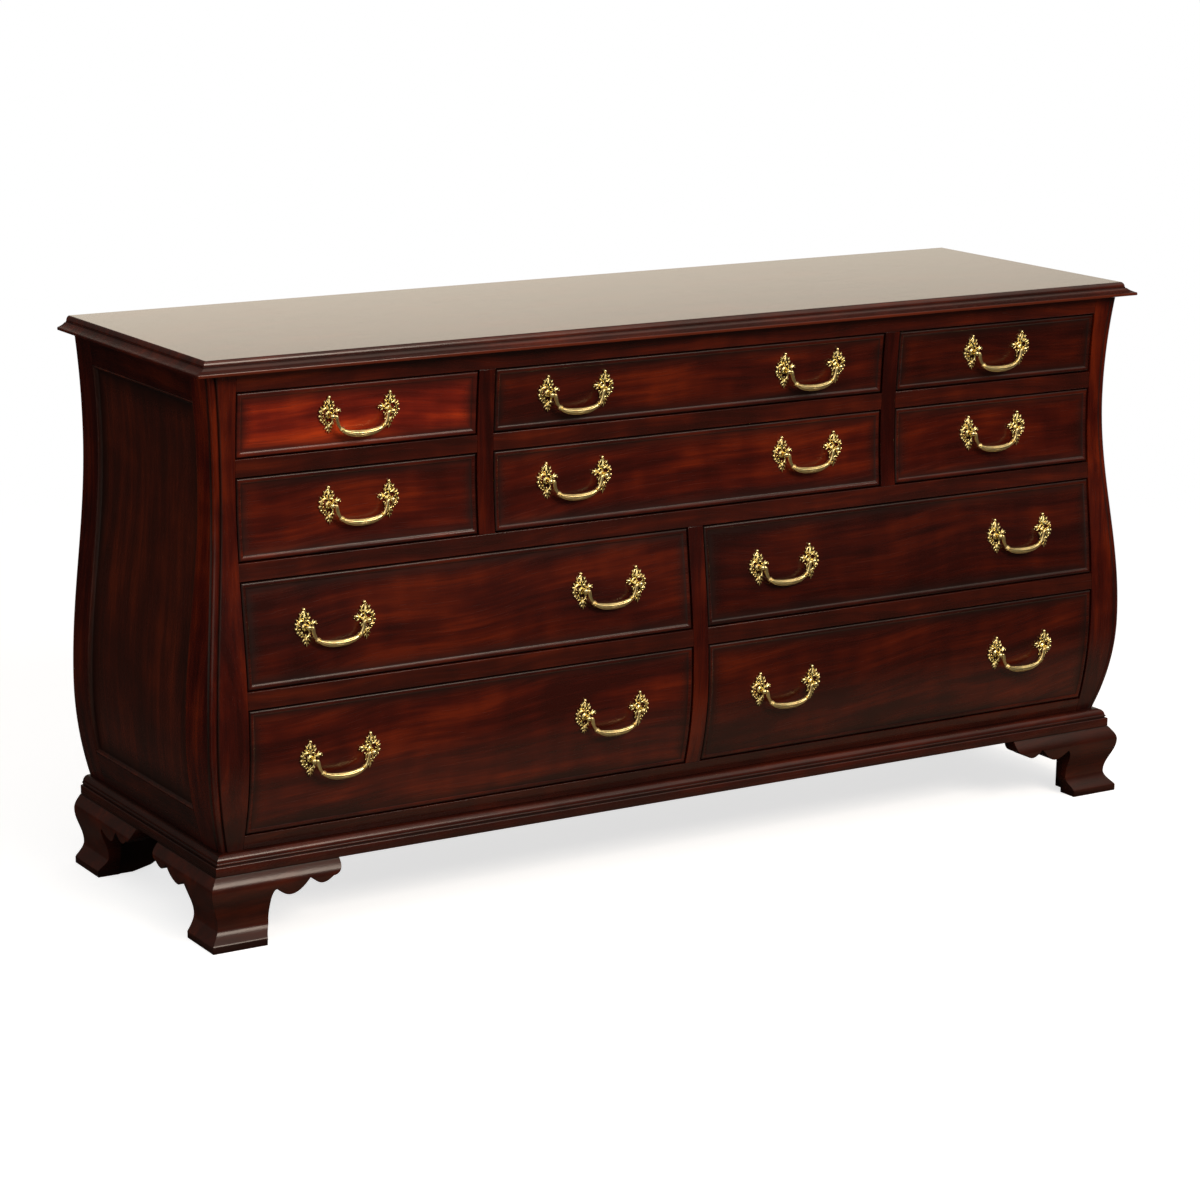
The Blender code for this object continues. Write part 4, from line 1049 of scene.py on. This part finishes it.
def cast_run(places, sides, ridge):
    """A rounded run of casting that swells and tapers along its way."""
    sections = []
    for spot, (x, z, proud, wide, high) in enumerate(places):
        along = heading(places, spot)
        ring = []
        for turn in turns(sides):
            reach = wide * math.cos(turn)
            lift = high * math.sin(turn) * (1 + ridge * max(math.sin(turn), 0.0) ** 6)
            seat = -proud - CAST_SEAT
            low = seat if lift < 0 and ridge == 0 else lift
            ring.append((x + along.y * reach, -(proud + max(low, seat)), z - along.x * reach))
        sections.append(ring)
    return run(sections)


def rosette(hand):
    """The casting in mm, its post at the origin and its face towards -y."""
    bm = bmesh.new()
    for places in SCROLLS:
        grown(bm, cast_run(flowing(places, 4), 8, 0.0))
    for places in LEAVES:
        grown(bm, cast_run(flowing(places, 3), 8, 0.35))
    for x, z, proud, radius in BEADS:
        bead = bmesh.new()
        bmesh.ops.create_icosphere(bead, subdivisions=2, radius=radius)
        bmesh.ops.translate(bead, verts=bead.verts, vec=(x, -proud + radius * 0.35, z))
        grown(bm, bead)
    sections = []
    for proud, radius in POST:
        ring = []
        for turn in turns(20):
            petal = 0.9 + 0.1 * math.cos(10 * turn) if proud < 3.0 else 1.0
            ring.append((radius * petal * math.cos(turn), -proud, radius * petal * math.sin(turn)))
        sections.append(ring)
    grown(bm, run(sections))
    bmesh.ops.scale(bm, verts=bm.verts, vec=(hand * MM, MM, MM))
    if hand < 0:
        bmesh.ops.reverse_faces(bm, faces=bm.faces)
    return bm


def brass(name, base, shine):
    """Polished brass, with brown patina where the glaze value is high."""
    made, shader, values = opened(name, Metallic=1.0)
    here = values.place()
    sand = here.noise(1400.0, 2.0)
    wear = here.noise(160.0, 2.0)
    darkening = values.glaze()
    aged = (darkening + (wear - 0.5) * 0.5).between(0.35, 0.95)
    handled = (base[0], base[1] * 1.14, base[2] * 1.2)
    polish = wear.between(0.3, 0.7).blend(base, handled)
    rough = aged * 0.30 + (sand - 0.5) * 0.08 + shine
    feed(shader, Base_Color=aged.blend(polish, PATINA), Roughness=rough,
         Normal=sand.relief(0.15, 0.0002))
    return made


def field_y(z):
    """The flat field of a drawer front, at a height."""
    return face_y(z) + FIELD_DEEP


def pulls():
    """Name, drawer, middle and height of every pull."""
    found = []
    for name in DRAWERS:
        row, place = name.split("_")
        low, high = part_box(f"drawer_front_{name}")
        height = (low.z + high.z) / 2 + PULL_LIFT[row]
        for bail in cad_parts:
            if bail == f"bail_{name}" or bail.startswith(f"bail_{name}_"):
                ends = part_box(bail)
                found.append((bail, name, (ends[0].x + ends[1].x) / 2, height))
    return found


def seated(bm, x, z):
    """Set a casting square to the drawer's face at its post, and bend it to the swell."""
    rise = 0.001
    tilt = math.atan2(field_y(z + rise) - field_y(z - rise), 2 * rise)
    seat = Matrix.Translation((x, field_y(z), z)) @ Matrix.Rotation(-tilt, 4, "X")
    for vert in bm.verts:
        if vert.co.y > -PLATE_DEEP:
            height = z + vert.co.z * math.cos(tilt)
            flat = field_y(z) + vert.co.z * math.sin(tilt)
            vert.co.y += field_y(height) - flat
    bmesh.ops.transform(bm, matrix=seat, verts=bm.verts)
    return bm, seat


rosette_finish = brass("rosette_brass", (1.0, 0.81, 0.39), 0.16)
castings = {"left": rosette(-1.0), "right": rosette(1.0)}
for casting in castings.values():
    glaze(casting, lambda point: 1.0 - (-point.y - 0.0006) / 0.0030)
for bail, name, x, z in pulls():
    for side, casting in castings.items():
        offset = -PULL_BORE / 2 if side == "left" else PULL_BORE / 2
        shape, _ = seated(casting.copy(), x + offset, z)
        fitted(f"{bail}_rosette_{side}", shape, rosette_finish, f"drawer_{name}",
               [f"drawer_front_{name}"], crease=60.0)
for casting in castings.values():
    casting.free()


# Bails. Cast brass handles that swing on pins in the two posts: plain arms, a collar at
# each end of the grip, and a swelled grip with reeds that twist slightly along it.
BAIL = (
    (50.0, 0.0, 1.5), (46.6, 0.0, 1.5), (45.4, -0.2, 2.2), (43.8, -1.4, 2.7), (43.4, -4.0, 2.9),
    (42.7, -8.0, 2.8), (41.3, -12.4, 2.6), (39.2, -16.6, 2.5), (37.4, -18.9, 2.4), (36.7, -19.7, 3.5),
    (35.9, -20.5, 4.5), (35.1, -21.3, 3.6), (34.3, -22.0, 2.9), (33.5, -22.6, 4.3), (32.7, -23.2, 3.3),
    (31.0, -24.2, 3.5), (26.0, -26.3, 4.2), (20.0, -28.0, 4.7), (13.0, -29.2, 5.1), (6.0, -29.8, 5.2),
)
REEDS = 8
REED_DEEP = 0.15            # share of the radius that the hollows between reeds take
REED_TWIST = 0.020          # turn of the reeds per mm of grip
GRIP_HALF = 32.0            # the reeds end here, out from the middle
COLLAR_HOLLOWS = ((33.9, 34.8), (36.9, 37.6))


def on_grip(x, fade):
    """1 on a bail's grip, falling to 0 where its reeds end."""
    return min(max((GRIP_HALF - abs(x)) / fade, 0.0), 1.0)


def bail_shape():
    """The handle in mm, its pivot at the origin, hanging straight down."""
    half = flowing([*BAIL, (0.0, -29.9, 5.3)], 3)
    path = half + [(-x, z, radius) for x, z, radius in half[-2::-1]]
    sections = []
    for spot, (x, z, radius) in enumerate(path):
        along = heading(path, spot)
        across = Vector((along.y, 0.0, -along.x))
        depth = REED_DEEP * on_grip(x, 7.0)
        ring = []
        for turn in turns(36):
            reed = abs(math.sin(REEDS * turn / 2 + x * REED_TWIST))
            reach = radius * (1.0 - depth * (1.0 - reed) ** 1.5)
            spread = across * math.cos(turn) + Vector((0.0, 1.0, 0.0)) * math.sin(turn)
            ring.append(tuple(Vector((x, 0.0, z)) + spread * reach))
        sections.append(ring)
    bm = run(sections)

    def rule(point):
        collar = any(start < abs(point.x) < end for start, end in COLLAR_HOLLOWS)
        centre = min(path, key=lambda spot: abs(spot[0] - point.x))
        reach = math.hypot(point.y, point.z - centre[1]) / centre[2]
        return max(on_grip(point.x, 4.0) * (1.0 - reach) * 7.0, collar * 0.7)
    glaze(bm, rule)
    bmesh.ops.scale(bm, verts=bm.verts, vec=(MM, MM, MM))
    return bm


bail_finish = brass("bail_brass", (1.0, 0.78, 0.37), 0.32)
handle = bail_shape()
for bail, name, x, z in pulls():
    seat = seated(bmesh.new(), x, z)[1]
    pivot = seat @ Vector((0.0, -PIVOT_PROUD, 0.0))
    shape = handle.copy()
    bmesh.ops.translate(shape, verts=shape.verts, vec=pivot)
    fitted(f"{bail}_handle", shape, bail_finish, bail, [bail], crease=50.0)
handle.free()


# Studio. A pale paper floor and soft lamps, with the camera at the photo's viewing angle.
# The camera sees floor and walls as white, and the lacquer mirrors a dim room with one
# pale wall, which is what greys the top.
YAW, PITCH, ROLL = 0.541, 0.243, 0.007
CAMERA_PLACE = (-2.9337, NOSE_Y - 4.3994, 1.7119)
camera_data = bpy.data.cameras.new("camera")
camera_data.sensor_width = 36.0
camera_data.lens = 101.47
camera_data.shift_x = 0.0445
camera_data.shift_y = 0.021
camera_data.clip_end = 60.0
camera = stood("camera", camera_data)
bpy.context.scene.camera = camera
ahead = Vector((math.sin(YAW) * math.cos(PITCH), math.cos(YAW) * math.cos(PITCH), -math.sin(PITCH)))
across = Vector((math.cos(YAW), -math.sin(YAW), 0.0))
upward = across.cross(ahead)
right = across * math.cos(ROLL) + upward * math.sin(ROLL)
top = upward * math.cos(ROLL) - across * math.sin(ROLL)
camera.matrix_world = Matrix((
    (right.x, top.x, -ahead.x, CAMERA_PLACE[0]),
    (right.y, top.y, -ahead.y, CAMERA_PLACE[1]),
    (right.z, top.z, -ahead.z, CAMERA_PLACE[2]),
    (0.0, 0.0, 0.0, 1.0),
))


def softbox(name, place, aim, size, power, colour, mirrored=True):
    lamp = bpy.data.lights.new(name, "AREA")
    lamp.shape = "RECTANGLE"
    lamp.size, lamp.size_y = size
    lamp.energy = power
    lamp.color = colour
    made = stood(name, lamp)
    made.location = place
    made.rotation_euler = (Vector(aim) - Vector(place)).to_track_quat("-Z", "Y").to_euler()
    made.visible_camera = False
    made.visible_glossy = mirrored


softbox("overhead", (-0.2, NOSE_Y - 0.9, 2.6), (0.0, NOSE_Y + 0.1, 0.6), (7.0, 4.0), 62.0, (1.0, 0.88, 0.74))
softbox("front", (0.5, NOSE_Y - 3.6, 3.1), (-0.2, NOSE_Y, 0.45), (2.4, 1.5), 114.0, (1.0, 0.85, 0.71))
softbox("window", (-4.2, NOSE_Y - 0.4, 1.3), (0.0, 0.0, 0.5), (1.6, 2.2), 27.0, (0.96, 0.97, 1.0), False)
softbox("rear", (1.6, 3.4, 2.1), (0.0, 0.0, 0.9), (5.5, 1.7), 20.0, (1.0, 0.90, 0.80), False)


def rays(values):
    """1 for rays straight from the camera, and 1 for those off lacquer and metal or
    through glass."""
    kinds = [values.make("ShaderNodeLightPath", {}, {}, f"Is {kind} Ray")
             for kind in ("Camera", "Glossy", "Transmission")]
    return kinds[0], kinds[1] + kinds[2]


ground = bmesh.new()
bmesh.ops.create_grid(ground, x_segments=2, y_segments=2, size=30.0)
floor = stood("floor", meshed("floor", ground))
BLACK = (0.0, 0.0, 0.0)
WHITE = (1.0, 1.0, 1.0)
paper, shader, values = opened("floor_paper", Roughness=0.9, Specular_IOR_Level=0.0,
                               Emission_Strength=1.0)
floor.data.materials.append(paper)
direct, mirrored = rays(values)
here = values.place()
x, y = here.axis("X"), here.axis("Y")
seen = direct + mirrored * x.between(1.0, 2.2) * y.between(-0.7, 0.2)
before_case = y.between(-0.95, -0.50) * y.between(-0.25, -0.35)
dark = x.between(-1.6, -0.9).blend((0.02, 0.02, 0.02), (0.06, 0.055, 0.05))
shade = before_case.blend(dark, (0.30, 0.27, 0.22))
dull = mirrored.blend((0.20, 0.19, 0.18), shade)
far = values.make("ShaderNodeVectorMath", {"operation": "LENGTH"}, {0: here}, "Value").between(1.3, 3.2)
near_tone = here.noise(40.0, 2.0).blend((0.69, 0.73, 0.78), (0.73, 0.77, 0.82))
glow = far.blend((0.70, 0.70, 0.70), WHITE)
feed(shader, Base_Color=seen.blend(dull, far.blend(near_tone, BLACK)),
     Emission_Color=seen.blend(BLACK, glow))

world = bpy.data.worlds.new("studio")
bpy.context.scene.world = world
world.use_nodes = True
values = Shade(world.node_tree)
direct, mirrored = rays(values)
aim = values.place("Generated")
x, y, z = [aim.axis(letter) for letter in "XYZ"]
over = z.between(0.20, 0.50) * 0.15
bright = values.math("MAXIMUM", over, x.between(-0.35, -0.75)) * y.between(0.35, -0.25)
room = mirrored.blend((0.15, 0.14, 0.13), bright.blend((0.085, 0.075, 0.065), (0.80, 0.70, 0.56)))
pale = x.between(0.35, 0.70).blend((0.97, 0.855, 0.698), (0.70, 0.62, 0.51))
wall = (mirrored * y.between(0.0, 0.4) * x.between(0.0, 0.3) * z.between(0.36, 0.26)).blend(room, pale)
values.tree.links.new(direct.blend(wall, WHITE).socket, world.node_tree.nodes["Background"].inputs["Color"])

bpy.context.scene.view_settings.view_transform = "Standard"
